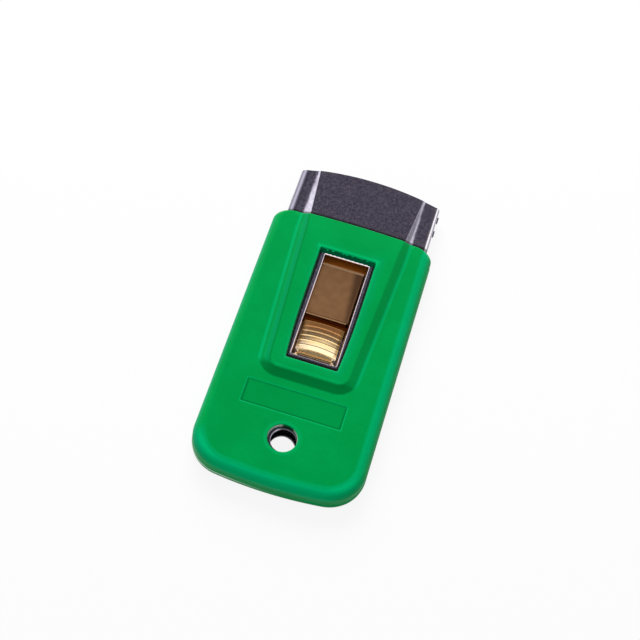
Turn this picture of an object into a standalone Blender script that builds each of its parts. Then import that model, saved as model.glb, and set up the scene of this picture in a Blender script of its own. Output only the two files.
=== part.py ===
"""Pocket scraper: soft green sleeve over a flat steel case, with a razor blade on a brass carriage inside."""

import math

import bmesh
import bpy

# All sizes are in metres. X runs across, Y towards the blade's mouth, Z up from the sleeve's underside.
# Places along the part are distances from the sleeve's rear end.

# Clearances
SHEET_GAP = 0.0002
PIECE_GAP = 0.0003
BLADE_FOLD_GAP = 0.000065
OVERRUN = 0.0010
WELD = 0.000002

# Blade and its folded back
BLADE_WIDTH = 0.0381
BLADE_DEPTH = 0.01905
BLADE_SHEET = 0.00023
BLADE_EDGE_TAPER = 0.0009
BLADE_EDGE_SHEET = 0.00004
BLADE_NOTCH_FROM_BACK = 0.0080
BLADE_NOTCH_LENGTH = 0.0034
BLADE_NOTCH_DEPTH = 0.0034
FOLD_THICK = 0.0009
FOLD_DEPTH = 0.0056
FOLD_WALL = (FOLD_THICK - BLADE_SHEET) / 2 - BLADE_FOLD_GAP

# Brass carriage, across
BRASS_SHEET = 0.00045
BLADE_END_ROOM = 0.0011
CARRIAGE_SIDE_GAP = 0.0004
OPENING_HALF = 0.0063
CARRIAGE_STRIP = 0.0022
BRIDGE_TOP_INSET = 0.0007
BRIDGE_FOOT = 0.0005
BRIDGE_RISE = 0.00155
NIB_SIDE_GAP = 0.0004
NIB_WIDTH = 0.0024
NIB_INSET = 0.0005
LIP_WIDTH = 0.0080
LIP_INSET = 0.00205
TONGUE_SIDE_GAP = 0.0004

# Thumb tongue
TONGUE_SHEET = 0.00030
PAD_LENGTH = 0.0124
PAD_HEEL = 0.0009
PAD_TOP_RISE = 0.00150
PAD_HEEL_RISE = 0.00080
PAD_CROWN = 0.00050
PAD_BULGE = 0.00050
PAD_PEAK_SHARE = 0.72
RIB_PITCH = 0.00155
RIB_HEIGHT = 0.00020
RIB_PLACE_SHARES = (0.0, 0.15, 0.5, 0.85)
RIB_LIFT_SHARES = (0.0, 1.0, 0.8, 0.1)

# Rivets through the tongue's tail
RIVET_SPACING = 0.0068
RIVET_SHANK_RADIUS = 0.0007
RIVET_HEAD_RADIUS = 0.0015
RIVET_HEAD = 0.0004
RIVET_DOME_SHARE = 0.70

# Steel case, across
STEEL_SHEET = 0.0005
CAVITY_HALF = BLADE_WIDTH / 2 + BLADE_END_ROOM + BRASS_SHEET + CARRIAGE_SIDE_GAP
CASE_HALF = CAVITY_HALF + STEEL_SHEET
CASE_OFF_CENTRE = 0.0005
CASE_REAR_CORNER = 0.0080
CASE_REAR_BOW_RADIUS = 0.1173
CASE_BEND_ROUND = 0.0012
NOSE_RISE = 0.0029
LOWER_NOSE_SETBACK = 0.0006
WINDOW_SIDE_MARGIN = 0.0004
STEEL_WINDOW_HALF = OPENING_HALF + WINDOW_SIDE_MARGIN

# Hanging hole
HOLE_FROM_REAR = 0.0142
STEEL_HOLE_RADIUS = 0.0035
STEEL_HOLE_OFF_CENTRE = 0.0
SLEEVE_HOLE_MARGIN = 0.0005
SLEEVE_HOLE_OFF_CENTRE = -0.0004

# The run of places from rear to nose
RIVETS_AHEAD_OF_HOLE = 0.0165
TAIL_BEHIND_RIVETS = 0.0045
TONGUE_BEHIND_RIVETS = 0.0030
OPENING_AHEAD_OF_RIVETS = 0.0030
PAD_AHEAD_OF_RIVETS = 0.0101
PAD_SHOWN_MARGIN = 0.0003
PAD_BRIDGE_GAP = 0.0014
BRIDGE_LENGTH = 0.0192
BRIDGE_WINDOW_GAP = 0.0020
BRIDGE_FRONT_PLATE = 0.0074
WIDE_PART_LENGTH = 0.0290
BLADE_UNDER_BRIDGE = 0.0016
BLADE_SETBACK = 0.01555
RIVET_FROM_REAR = HOLE_FROM_REAR + RIVETS_AHEAD_OF_HOLE
CARRIAGE_TAIL_START = RIVET_FROM_REAR - TAIL_BEHIND_RIVETS
TONGUE_START = RIVET_FROM_REAR - TONGUE_BEHIND_RIVETS
OPENING_START = RIVET_FROM_REAR + OPENING_AHEAD_OF_RIVETS
PAD_START = RIVET_FROM_REAR + PAD_AHEAD_OF_RIVETS
PAD_END = PAD_START + PAD_LENGTH
STEEL_WINDOW_START = PAD_START - PAD_SHOWN_MARGIN
BRIDGE_START = PAD_END + PAD_BRIDGE_GAP
BRIDGE_END = BRIDGE_START + BRIDGE_LENGTH
STEEL_WINDOW_END = BRIDGE_END + BRIDGE_WINDOW_GAP
CARRIAGE_FRONT = BRIDGE_END + BRIDGE_FRONT_PLATE
CARRIAGE_WIDE_START = CARRIAGE_FRONT - WIDE_PART_LENGTH
BLADE_BACK_FROM_REAR = BRIDGE_END - BLADE_UNDER_BRIDGE
OVERALL_LENGTH = BLADE_BACK_FROM_REAR + BLADE_DEPTH + BLADE_SETBACK
REAR_Y = -OVERALL_LENGTH / 2
NOSE_Y = OVERALL_LENGTH / 2

# Tabs that hold the lower sheet in the side walls
TAB_LENGTH = 0.0022
TAB_PROUD = 0.0004
RIGHT_TABS_FROM_NOSE = (0.0042, 0.0094)
LEFT_TABS_FROM_NOSE = (0.0115,)

# Grip sleeve
SLEEVE_SIDE_WALL = 0.0024
SLEEVE_HALF = CASE_HALF + PIECE_GAP + SLEEVE_SIDE_WALL
SLEEVE_FLOOR = 0.0011
SLEEVE_ROOF = 0.0011
NOSE_SHOWING = 0.0190
SLEEVE_FRONT_FROM_REAR = OVERALL_LENGTH - NOSE_SHOWING
SLEEVE_FRONT_BOW = 0.0007
SLEEVE_FRONT_CORNER = 0.0032
SLEEVE_REAR_CORNER = 0.0105
SLEEVE_REAR_BOW_RADIUS = 0.1200
SLEEVE_REAR_WALL = 0.0024
SLEEVE_TOP_ROUND = 0.0028
SLEEVE_UNDER_ROUND = 0.0018
SLEEVE_WINDOW_SIDE = 0.00125
SLEEVE_WINDOW_REAR = 0.0025
SLEEVE_WINDOW_FRONT = 0.0011
SLEEVE_WINDOW_HALF = STEEL_WINDOW_HALF + SLEEVE_WINDOW_SIDE
SLEEVE_WINDOW_START = STEEL_WINDOW_START - SLEEVE_WINDOW_REAR
SLEEVE_WINDOW_END = STEEL_WINDOW_END + SLEEVE_WINDOW_FRONT
FRAME_OFF_CENTRE = 0.0003
FRAME_SLOPE_RUN_SHARE = 2.5

# Bare name plate recess
PLATE_WIDTH = 0.0284
PLATE_LENGTH = 0.0075
PLATE_AHEAD_OF_HOLE = 0.0073
PLATE_START = HOLE_FROM_REAR + PLATE_AHEAD_OF_HOLE
PLATE_END = PLATE_START + PLATE_LENGTH
PLATE_DEPTH = 0.0003
PLATE_OFF_CENTRE = -0.00045

# Raised middle panel: half widths of its flat top, and how it runs down to the nose
PANEL_RAISE = 0.0010
PANEL_SLOPE_RUN_SHARE = 3.0
PANEL_SKIRT = 0.0004
PANEL_REAR_MARGIN = 0.0035
PANEL_REAR_SIDE = 0.00335
PANEL_REAR_CORNER = 0.0028
PANEL_WAIST_SIDE = 0.00535
PANEL_RAMP_FLARE = 0.0006
PANEL_TIP_FLARE = 0.0028
PANEL_RAMP_LENGTH = 0.0233
PANEL_WAIST_TO_RAMP = 0.0122
PANEL_TIP_SETBACK = 0.0013
PANEL_TIP_SINK = 0.00002
PANEL_REAR = SLEEVE_WINDOW_START - PANEL_REAR_MARGIN
PANEL_REAR_HALF = SLEEVE_WINDOW_HALF + PANEL_REAR_SIDE
PANEL_WAIST_HALF = SLEEVE_WINDOW_HALF + PANEL_WAIST_SIDE
PANEL_RAMP_START_HALF = PANEL_WAIST_HALF + PANEL_RAMP_FLARE
PANEL_TIP_HALF = PANEL_WAIST_HALF + PANEL_TIP_FLARE
PANEL_TIP = OVERALL_LENGTH - PANEL_TIP_SETBACK
PANEL_RAMP_START = PANEL_TIP - PANEL_RAMP_LENGTH
PANEL_WAIST = PANEL_RAMP_START - PANEL_WAIST_TO_RAMP

# Facet counts
PAD_ACROSS_COUNT = 8
CORNER_STEPS = 7
BOW_STEPS = 6
FRONT_STEPS = 10
ROUND_STEPS = 4
BEND_STEPS = 3
HOLE_STEPS = 32
RIVET_STEPS = 20

# Levels that follow from the sheets and clearances
LOWER_UNDER_Z = SLEEVE_FLOOR + SHEET_GAP
LOWER_TOP_Z = LOWER_UNDER_Z + STEEL_SHEET
FOLD_UNDER_Z = LOWER_TOP_Z + PIECE_GAP
FOLD_TOP_Z = FOLD_UNDER_Z + FOLD_THICK
BLADE_Z = FOLD_UNDER_Z + FOLD_THICK / 2
CARRIAGE_UNDER_Z = FOLD_TOP_Z + SHEET_GAP
CARRIAGE_TOP_Z = CARRIAGE_UNDER_Z + BRASS_SHEET
BRIDGE_TOP_Z = CARRIAGE_TOP_Z + BRIDGE_RISE
TONGUE_UNDER_Z = CARRIAGE_TOP_Z + SHEET_GAP
TONGUE_TOP_Z = TONGUE_UNDER_Z + TONGUE_SHEET
CASE_ROOF_Z = BRIDGE_TOP_Z
CASE_TOP_Z = CASE_ROOF_Z + STEEL_SHEET
PANEL_TOP_Z = CASE_TOP_Z + PANEL_RAISE
SLEEVE_ROOF_Z = CASE_TOP_Z + SHEET_GAP
SLEEVE_HEIGHT = SLEEVE_ROOF_Z + SLEEVE_ROOF
BRIDGE_TOP_HALF = OPENING_HALF - BRIDGE_TOP_INSET
BRIDGE_FOOT_HALF = OPENING_HALF + BRIDGE_FOOT
TONGUE_HALF = OPENING_HALF - TONGUE_SIDE_GAP
CARRIAGE_TAIL_HALF = OPENING_HALF + CARRIAGE_STRIP
CARRIAGE_HALF = CAVITY_HALF - CARRIAGE_SIDE_GAP
CASE_REAR_Y = REAR_Y + SLEEVE_REAR_WALL + PIECE_GAP


def along(distance):
    """Y of a place given by its distance from the sleeve's rear end."""
    return REAR_Y + distance


# Materials
def material(name, colour, roughness, metallic):
    made = bpy.data.materials.new(name)
    made.use_nodes = True
    shader = made.node_tree.nodes["Principled BSDF"]
    shader.inputs["Base Color"].default_value = (*colour, 1.0)
    shader.inputs["Roughness"].default_value = roughness
    shader.inputs["Metallic"].default_value = metallic
    return made


# Making and joining shapes
def add_object(name, mesh):
    made = bpy.data.objects.new(name, mesh)
    bpy.context.scene.collection.objects.link(made)
    return made


def from_faces(name, points, faces):
    """An object from its points and faces, with every face turned outwards."""
    mesh = bpy.data.meshes.new(name)
    mesh.from_pydata(points, [], faces)
    work = bmesh.new()
    work.from_mesh(mesh)
    bmesh.ops.recalc_face_normals(work, faces=work.faces)
    work.to_mesh(mesh)
    work.free()
    return add_object(name, mesh)


def loft(name, rings):
    """A closed solid through rings that have the same number of points."""
    count = len(rings[0])
    points = [point for ring in rings for point in ring]
    faces = [list(range(count)), list(range(len(points) - count, len(points)))]
    for level in range(len(rings) - 1):
        low = level * count
        high = low + count
        for step in range(count):
            after = (step + 1) % count
            faces.append([low + step, low + after, high + after, high + step])
    return from_faces(name, points, faces)


def at_level(outline, level):
    return [(x, y, level) for x, y in outline]


def prism(name, outline, under, top):
    return loft(name, [at_level(outline, under), at_level(outline, top)])


def box(name, low, high):
    outline = [(low[0], low[1]), (high[0], low[1]), (high[0], high[1]), (low[0], high[1])]
    return prism(name, outline, low[2], high[2])


def across_bar(name, section, left, right):
    """A bar along X from a section given as (y, z) points."""
    return loft(name, [[(x, y, z) for y, z in section] for x in (left, right)])


def circle(centre_x, centre_y, radius, steps):
    turn = 2 * math.pi / steps
    return [
        (centre_x + radius * math.cos(turn * step), centre_y + radius * math.sin(turn * step))
        for step in range(steps)
    ]


def combine(target, tool, operation):
    """Apply one exact Boolean and remove the tool."""
    tool.hide_render = True
    tool.display_type = "WIRE"
    step = target.modifiers.new("combine", "BOOLEAN")
    step.operation = operation
    step.solver = "EXACT"
    step.object = tool
    graph = bpy.context.evaluated_depsgraph_get()
    mesh = bpy.data.meshes.new_from_object(target.evaluated_get(graph))
    target.modifiers.clear()
    target.data = mesh
    bpy.data.objects.remove(tool)
    return target


def cut(target, *tools):
    for tool in tools:
        combine(target, tool, "DIFFERENCE")
    return target


def join(target, *tools):
    for tool in tools:
        combine(target, tool, "UNION")
    return target


def finish_piece(target, look, smooth_degrees=30):
    target.data.materials.clear()
    target.data.materials.append(look)
    work = bmesh.new()
    work.from_mesh(target.data)
    bmesh.ops.remove_doubles(work, verts=work.verts, dist=WELD)
    work.to_mesh(target.data)
    work.free()
    target.data.shade_smooth()
    target.data.set_sharp_from_angle(angle=math.radians(smooth_degrees))
    return target



# Outlines seen from above
def arc(centre_x, centre_y, radius, start, end, steps):
    """Points on an arc between two angles in degrees, both ends included."""
    points = []
    for step in range(steps + 1):
        angle = math.radians(start + (end - start) * step / steps)
        points.append((centre_x + radius * math.cos(angle), centre_y + radius * math.sin(angle)))
    return points


def bowed(middle_y, bow, half_width):
    """A front edge that is highest in the middle and falls by bow at half_width: returns y at a given x."""
    radius = (half_width**2 + bow**2) / (2 * bow)
    return lambda x: middle_y - radius + math.sqrt(radius**2 - x**2)


def flat(level_y):
    return lambda x: level_y


def plan_outline(centre_x, half_width, rear_y, corner, bow_radius, front_edge, front_corner=0.0, inset=0.0):
    """A plate outline with rounded rear corners, a slightly bowed rear edge and the given front edge."""
    corner_x = half_width - corner
    bow_y = rear_y + bow_radius
    reach = math.sqrt((bow_radius - corner) ** 2 - corner_x**2)
    corner_y = bow_y - reach
    lean = math.degrees(math.asin(corner_x / (bow_radius - corner)))
    side = half_width - inset
    points = []
    if front_corner:
        front_y = front_edge(side - front_corner) - front_corner
        points += arc(side - front_corner, front_y, front_corner, 0, 90, CORNER_STEPS)[:-1]
    reach_x = side - front_corner
    for step in range(FRONT_STEPS + 1):
        x = reach_x - 2 * reach_x * step / FRONT_STEPS
        points.append((x, front_edge(x)))
    if front_corner:
        points += arc(front_corner - side, front_y, front_corner, 90, 180, CORNER_STEPS)[1:]
    points += arc(-corner_x, corner_y, corner - inset, 180, 270 - lean, CORNER_STEPS)
    points += arc(0.0, bow_y, bow_radius - inset, 270 - lean, 270 + lean, BOW_STEPS)[1:-1]
    points += arc(corner_x, corner_y, corner - inset, 270 + lean, 360, CORNER_STEPS)
    return [(centre_x + x, y) for x, y in points]


def panel_solid(name, centre_x, front_y, wider, lift, slope_run_share, skirt):
    """The raised panel as a solid: a level top with a ramp to the nose, and sloping sides and rear."""
    stations = [
        (PANEL_TIP_HALF, PANEL_TIP),
        (PANEL_RAMP_START_HALF, PANEL_RAMP_START),
        (PANEL_WAIST_HALF, PANEL_WAIST),
        (PANEL_REAR_HALF, PANEL_REAR + PANEL_REAR_CORNER),
    ]
    tip_y = along(PANEL_TIP)
    fall = (PANEL_RAISE + PANEL_TIP_SINK) / (PANEL_TIP - PANEL_RAMP_START)
    top_z = PANEL_TOP_Z + lift
    if front_y > tip_y:
        slope = (PANEL_TIP_HALF - PANEL_RAMP_START_HALF) / (PANEL_TIP - PANEL_RAMP_START)
        grown = PANEL_TIP_HALF + slope * (front_y - tip_y)
        stations[0] = (grown, PANEL_TIP + front_y - tip_y)
    side = [(half + wider, along(distance)) for half, distance in stations]
    corner_x = PANEL_REAR_HALF + wider - PANEL_REAR_CORNER
    corner_y = along(PANEL_REAR + PANEL_REAR_CORNER)
    rear = arc(corner_x, corner_y, PANEL_REAR_CORNER, 0, -90, CORNER_STEPS)[1:]
    right = side + rear
    outward = []
    for index, (x, y) in enumerate(right):
        before = right[max(index - 1, 0)]
        after = right[min(index + 1, len(right) - 1)]
        run_x = after[0] - before[0]
        run_y = after[1] - before[1]
        size = math.hypot(run_x, run_y)
        outward.append((-run_y / size, run_x / size))
    outward[0] = (1.0, 0.0)
    outward[-1] = (0.0, -1.0)
    tops = []
    bases = []
    for (x, y), (out_x, out_y) in zip(right, outward):
        height = top_z - fall * max(0.0, y - along(PANEL_RAMP_START))
        base_z = CASE_TOP_Z + lift - skirt
        run = slope_run_share * (height - base_z)
        tops.append((x, y, height))
        bases.append((x + out_x * run, y + out_y * run, base_z))
    mirror = [[(-x, y, z) for x, y, z in reversed(ring)] for ring in (bases, tops)]
    rings = [bases + mirror[0], tops + mirror[1]]
    count = len(rings[0])
    half = count // 2
    points = [(centre_x + x, y, z) for ring in rings for x, y, z in ring]
    faces = [list(range(count))]
    for step in range(count):
        after = (step + 1) % count
        faces.append([step, after, count + after, count + step])
    ramp = [count, count + 1, count + count - 2, count + count - 1]
    level = [count + index for index in range(1, count - 1)]
    faces += [ramp, level]
    assert half * 2 == count
    return from_faces(name, points, faces)


# Grip sleeve
def sleeve_front():
    half = SLEEVE_HALF - SLEEVE_FRONT_CORNER
    return bowed(along(SLEEVE_FRONT_FROM_REAR), SLEEVE_FRONT_BOW, half)


def sleeve_ring(inset, level):
    outline = plan_outline(
        0.0,
        SLEEVE_HALF,
        REAR_Y,
        SLEEVE_REAR_CORNER,
        SLEEVE_REAR_BOW_RADIUS,
        sleeve_front(),
        SLEEVE_FRONT_CORNER,
        inset,
    )
    return at_level(outline, level)


def round_steps(radius, steps):
    """Pairs of inset and height over a quarter round, from its upright end to its level end."""
    pairs = []
    for step in range(steps + 1):
        angle = math.pi / 2 * step / steps
        pairs.append((radius * (1 - math.cos(angle)), radius * math.sin(angle)))
    return pairs


def build_sleeve(look):
    under = [(inset, SLEEVE_UNDER_ROUND - rise) for inset, rise in round_steps(SLEEVE_UNDER_ROUND, ROUND_STEPS)]
    over_start = SLEEVE_HEIGHT - SLEEVE_TOP_ROUND
    over = [(inset, over_start + rise) for inset, rise in round_steps(SLEEVE_TOP_ROUND, ROUND_STEPS)]
    sleeve = loft("grip_sleeve", [sleeve_ring(inset, level) for inset, level in under[::-1] + over])

    # Raised frame round the window, trimmed to the sleeve's bowed front edge
    front_y = along(SLEEVE_FRONT_FROM_REAR)
    lift = SLEEVE_HEIGHT - CASE_TOP_Z
    frame = panel_solid("frame", FRAME_OFF_CENTRE, front_y, 0.0, lift, FRAME_SLOPE_RUN_SHARE, PANEL_SKIRT)
    edge = sleeve_front()
    reach_x = SLEEVE_HALF - SLEEVE_FRONT_CORNER
    ahead = []
    for step in range(FRONT_STEPS + 1):
        x = reach_x - 2 * reach_x * step / FRONT_STEPS
        ahead.append((x, edge(x)))
    ahead += [(-reach_x, NOSE_Y + OVERRUN), (reach_x, NOSE_Y + OVERRUN)]
    cut(frame, prism("ahead", ahead, CASE_ROOF_Z, SLEEVE_HEIGHT + PANEL_RAISE + OVERRUN))
    join(sleeve, frame)

    # Cavity for the case, open at the front
    gap_half = CASE_HALF + PIECE_GAP
    outline = plan_outline(
        CASE_OFF_CENTRE,
        gap_half,
        REAR_Y + SLEEVE_REAR_WALL,
        CASE_REAR_CORNER + PIECE_GAP,
        CASE_REAR_BOW_RADIUS + PIECE_GAP,
        flat(front_y + OVERRUN),
    )
    cavity = prism("cavity", outline, SLEEVE_FLOOR, SLEEVE_ROOF_Z)
    over_panel = panel_solid(
        "over_panel",
        CASE_OFF_CENTRE,
        front_y + OVERRUN,
        PIECE_GAP,
        SHEET_GAP,
        PANEL_SLOPE_RUN_SHARE,
        PANEL_SKIRT,
    )
    join(cavity, over_panel)
    cut(sleeve, cavity)

    # Window, hanging hole and name plate recess
    half = SLEEVE_WINDOW_HALF
    window = box(
        "window",
        (CASE_OFF_CENTRE - half, along(SLEEVE_WINDOW_START), CASE_TOP_Z),
        (CASE_OFF_CENTRE + half, along(SLEEVE_WINDOW_END), SLEEVE_HEIGHT + PANEL_RAISE + OVERRUN),
    )
    hole_y = along(HOLE_FROM_REAR)
    round_hole = circle(SLEEVE_HOLE_OFF_CENTRE, hole_y, STEEL_HOLE_RADIUS + SLEEVE_HOLE_MARGIN, HOLE_STEPS)
    hole = prism("hole", round_hole, -OVERRUN, SLEEVE_HEIGHT + OVERRUN)
    half = PLATE_WIDTH / 2
    recess = box(
        "recess",
        (PLATE_OFF_CENTRE - half, along(PLATE_START), SLEEVE_HEIGHT - PLATE_DEPTH),
        (PLATE_OFF_CENTRE + half, along(PLATE_END), SLEEVE_HEIGHT + OVERRUN),
    )
    cut(sleeve, window, hole, recess)
    return finish_piece(sleeve, look)


# Steel case
def nose_edge(setback=0.0):
    return bowed(NOSE_Y - setback, NOSE_RISE, CASE_HALF)


def case_ring(inset, level, front_edge):
    outline = plan_outline(
        CASE_OFF_CENTRE,
        CASE_HALF,
        CASE_REAR_Y,
        CASE_REAR_CORNER,
        CASE_REAR_BOW_RADIUS,
        front_edge,
        0.0,
        inset,
    )
    return at_level(outline, level)


def tab_places():
    """Side (+1 right, -1 left) and Y of each tab."""
    places = [(1, NOSE_Y - distance) for distance in RIGHT_TABS_FROM_NOSE]
    return places + [(-1, NOSE_Y - distance) for distance in LEFT_TABS_FROM_NOSE]


def steel_hole():
    outline = circle(STEEL_HOLE_OFF_CENTRE, along(HOLE_FROM_REAR), STEEL_HOLE_RADIUS, HOLE_STEPS)
    return prism("steel_hole", outline, -OVERRUN, SLEEVE_HEIGHT + OVERRUN)


def build_upper_case(look):
    outer = [(0.0, LOWER_UNDER_Z)]
    start = CASE_TOP_Z - CASE_BEND_ROUND
    outer += [(inset, start + rise) for inset, rise in round_steps(CASE_BEND_ROUND, BEND_STEPS)]
    case = loft("upper_case", [case_ring(inset, level, nose_edge()) for inset, level in outer])

    panel = panel_solid(
        "panel", CASE_OFF_CENTRE, along(PANEL_TIP), 0.0, 0.0, PANEL_SLOPE_RUN_SHARE, PANEL_SKIRT
    )
    edge = nose_edge()
    ahead = []
    for step in range(FRONT_STEPS + 1):
        x = CASE_HALF - 2 * CASE_HALF * step / FRONT_STEPS
        ahead.append((CASE_OFF_CENTRE + x, edge(x)))
    left = CASE_OFF_CENTRE - CASE_HALF
    right = CASE_OFF_CENTRE + CASE_HALF
    ahead += [(left, NOSE_Y + OVERRUN), (right, NOSE_Y + OVERRUN)]
    cut(panel, prism("ahead", ahead, LOWER_UNDER_Z, PANEL_TOP_Z + OVERRUN))
    join(case, panel)

    # Hollow, open below and at the nose
    beyond = flat(NOSE_Y + OVERRUN)
    inner_round = CASE_BEND_ROUND - STEEL_SHEET
    inner = [(STEEL_SHEET, LOWER_UNDER_Z - OVERRUN)]
    start = CASE_ROOF_Z - inner_round
    inner += [
        (STEEL_SHEET + inset, start + rise) for inset, rise in round_steps(inner_round, BEND_STEPS)
    ]
    hollow = loft("hollow", [case_ring(inset, level, beyond) for inset, level in inner])
    under_panel = panel_solid(
        "under_panel", CASE_OFF_CENTRE, along(PANEL_TIP), 0.0, -STEEL_SHEET, PANEL_SLOPE_RUN_SHARE, PANEL_SKIRT
    )
    join(hollow, under_panel)
    cut(case, hollow)

    half = STEEL_WINDOW_HALF
    window = box(
        "window",
        (CASE_OFF_CENTRE - half, along(STEEL_WINDOW_START), CASE_ROOF_Z),
        (CASE_OFF_CENTRE + half, along(STEEL_WINDOW_END), PANEL_TOP_Z + OVERRUN),
    )
    cut(case, window, steel_hole())

    # Notches in the side walls for the lower sheet's tabs
    for side, y in tab_places():
        near = CAVITY_HALF - STEEL_SHEET
        far = CASE_HALF + OVERRUN
        xs = sorted((CASE_OFF_CENTRE + side * near, CASE_OFF_CENTRE + side * far))
        reach = TAB_LENGTH / 2 + SHEET_GAP
        notch = box(
            "notch",
            (xs[0], y - reach, LOWER_UNDER_Z - OVERRUN),
            (xs[1], y + reach, LOWER_TOP_Z + SHEET_GAP),
        )
        cut(case, notch)
    return finish_piece(case, look)


def build_lower_case(look):
    edge = nose_edge(LOWER_NOSE_SETBACK)
    rings = [case_ring(STEEL_SHEET + SHEET_GAP, level, edge) for level in (LOWER_UNDER_Z, LOWER_TOP_Z)]
    sheet = loft("lower_case", rings)
    for side, y in tab_places():
        near = CAVITY_HALF - STEEL_SHEET
        far = CASE_HALF + TAB_PROUD
        xs = sorted((CASE_OFF_CENTRE + side * near, CASE_OFF_CENTRE + side * far))
        tab = box(
            "tab",
            (xs[0], y - TAB_LENGTH / 2, LOWER_UNDER_Z),
            (xs[1], y + TAB_LENGTH / 2, LOWER_TOP_Z),
        )
        join(sheet, tab)
    cut(sheet, steel_hole())
    return finish_piece(sheet, look)


# Blade
def build_blade(look):
    back = along(BLADE_BACK_FROM_REAR)
    edge = back + BLADE_DEPTH
    thick = BLADE_SHEET / 2
    fine = BLADE_EDGE_SHEET / 2
    section = [
        (back, BLADE_Z - thick),
        (edge - BLADE_EDGE_TAPER, BLADE_Z - thick),
        (edge, BLADE_Z - fine),
        (edge, BLADE_Z + fine),
        (edge - BLADE_EDGE_TAPER, BLADE_Z + thick),
        (back, BLADE_Z + thick),
    ]
    half = BLADE_WIDTH / 2
    blade = across_bar("blade", section, CASE_OFF_CENTRE - half, CASE_OFF_CENTRE + half)
    notch_y = back + BLADE_NOTCH_FROM_BACK
    for side in (-1, 1):
        xs = sorted(
            (
                CASE_OFF_CENTRE + side * (half - BLADE_NOTCH_DEPTH),
                CASE_OFF_CENTRE + side * (half + OVERRUN),
            )
        )
        notch = box(
            "notch",
            (xs[0], notch_y - BLADE_NOTCH_LENGTH / 2, BLADE_Z - OVERRUN),
            (xs[1], notch_y + BLADE_NOTCH_LENGTH / 2, BLADE_Z + OVERRUN),
        )
        cut(blade, notch)
    return finish_piece(blade, look)


def build_blade_back(look):
    inner_y = along(BLADE_BACK_FROM_REAR) - BLADE_FOLD_GAP
    outer_y = inner_y - FOLD_WALL
    front_y = outer_y + FOLD_DEPTH
    slot = BLADE_SHEET / 2 + BLADE_FOLD_GAP
    section = [
        (outer_y, FOLD_UNDER_Z),
        (front_y, FOLD_UNDER_Z),
        (front_y, BLADE_Z - slot),
        (inner_y, BLADE_Z - slot),
        (inner_y, BLADE_Z + slot),
        (front_y, BLADE_Z + slot),
        (front_y, FOLD_TOP_Z),
        (outer_y, FOLD_TOP_Z),
    ]
    half = BLADE_WIDTH / 2
    back = across_bar("blade_back", section, CASE_OFF_CENTRE - half, CASE_OFF_CENTRE + half)
    return finish_piece(back, look)


# Carriage
def rivet_places():
    y = along(RIVET_FROM_REAR)
    return [(CASE_OFF_CENTRE + side * RIVET_SPACING / 2, y) for side in (-1, 1)]


def build_carriage(look):
    middle = CASE_OFF_CENTRE
    tail_y = along(CARRIAGE_TAIL_START)
    wide_y = along(CARRIAGE_WIDE_START)
    front_y = along(CARRIAGE_FRONT)
    outline = [
        (middle - CARRIAGE_TAIL_HALF, tail_y),
        (middle + CARRIAGE_TAIL_HALF, tail_y),
        (middle + CARRIAGE_TAIL_HALF, wide_y),
        (middle + CARRIAGE_HALF, wide_y),
        (middle + CARRIAGE_HALF, front_y),
        (middle - CARRIAGE_HALF, front_y),
        (middle - CARRIAGE_HALF, wide_y),
        (middle - CARRIAGE_TAIL_HALF, wide_y),
    ]
    carriage = prism("blade_carriage", outline, CARRIAGE_UNDER_Z, CARRIAGE_TOP_Z)
    opening = box(
        "opening",
        (middle - OPENING_HALF, along(OPENING_START), CARRIAGE_UNDER_Z - OVERRUN),
        (middle + OPENING_HALF, along(BRIDGE_END), CARRIAGE_TOP_Z + OVERRUN),
    )
    cut(carriage, opening)

    # Raised platform: a strip lifted out of the plate, with sheared ends and sloping sides
    run = BRIDGE_FOOT_HALF - BRIDGE_TOP_HALF
    inner_top = BRIDGE_TOP_HALF - BRASS_SHEET * run / BRIDGE_RISE
    section = [
        (-BRIDGE_FOOT_HALF, CARRIAGE_TOP_Z),
        (-BRIDGE_TOP_HALF, BRIDGE_TOP_Z),
        (BRIDGE_TOP_HALF, BRIDGE_TOP_Z),
        (BRIDGE_FOOT_HALF, CARRIAGE_TOP_Z),
        (BRIDGE_FOOT_HALF, CARRIAGE_UNDER_Z),
        (OPENING_HALF, CARRIAGE_UNDER_Z),
        (inner_top, BRIDGE_TOP_Z - BRASS_SHEET),
        (-inner_top, BRIDGE_TOP_Z - BRASS_SHEET),
        (-OPENING_HALF, CARRIAGE_UNDER_Z),
        (-BRIDGE_FOOT_HALF, CARRIAGE_UNDER_Z),
    ]
    ends = [[(middle + x, along(place), z) for x, z in section] for place in (BRIDGE_START, BRIDGE_END)]
    join(carriage, loft("bridge", ends))

    # Side rails, lips behind the blade's back and nibs for the blade's notches
    back_y = along(BLADE_BACK_FROM_REAR) - BLADE_FOLD_GAP - FOLD_WALL - SHEET_GAP
    nib_y = along(BLADE_BACK_FROM_REAR) + BLADE_NOTCH_FROM_BACK
    nib_length = BLADE_NOTCH_LENGTH - 2 * NIB_SIDE_GAP
    lip_out = BLADE_WIDTH / 2 - LIP_INSET
    nib_out = BLADE_WIDTH / 2 - NIB_INSET
    spans = [
        (CARRIAGE_HALF - BRASS_SHEET, CARRIAGE_HALF, wide_y, front_y),
        (lip_out - LIP_WIDTH, lip_out, back_y - BRASS_SHEET, back_y),
        (nib_out - NIB_WIDTH, nib_out, nib_y - nib_length / 2, nib_y + nib_length / 2),
    ]
    under = FOLD_UNDER_Z
    top = (CARRIAGE_UNDER_Z + CARRIAGE_TOP_Z) / 2
    for near, far, low_y, high_y in spans:
        for side in (-1, 1):
            xs = sorted((middle + side * near, middle + side * far))
            join(carriage, box("bent", (xs[0], low_y, under), (xs[1], high_y, top)))
    for x, y in rivet_places():
        outline = circle(x, y, RIVET_SHANK_RADIUS + PIECE_GAP, RIVET_STEPS)
        cut(carriage, prism("rivet_hole", outline, CARRIAGE_UNDER_Z - OVERRUN, CARRIAGE_TOP_Z + OVERRUN))
    return finish_piece(carriage, look)


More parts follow.
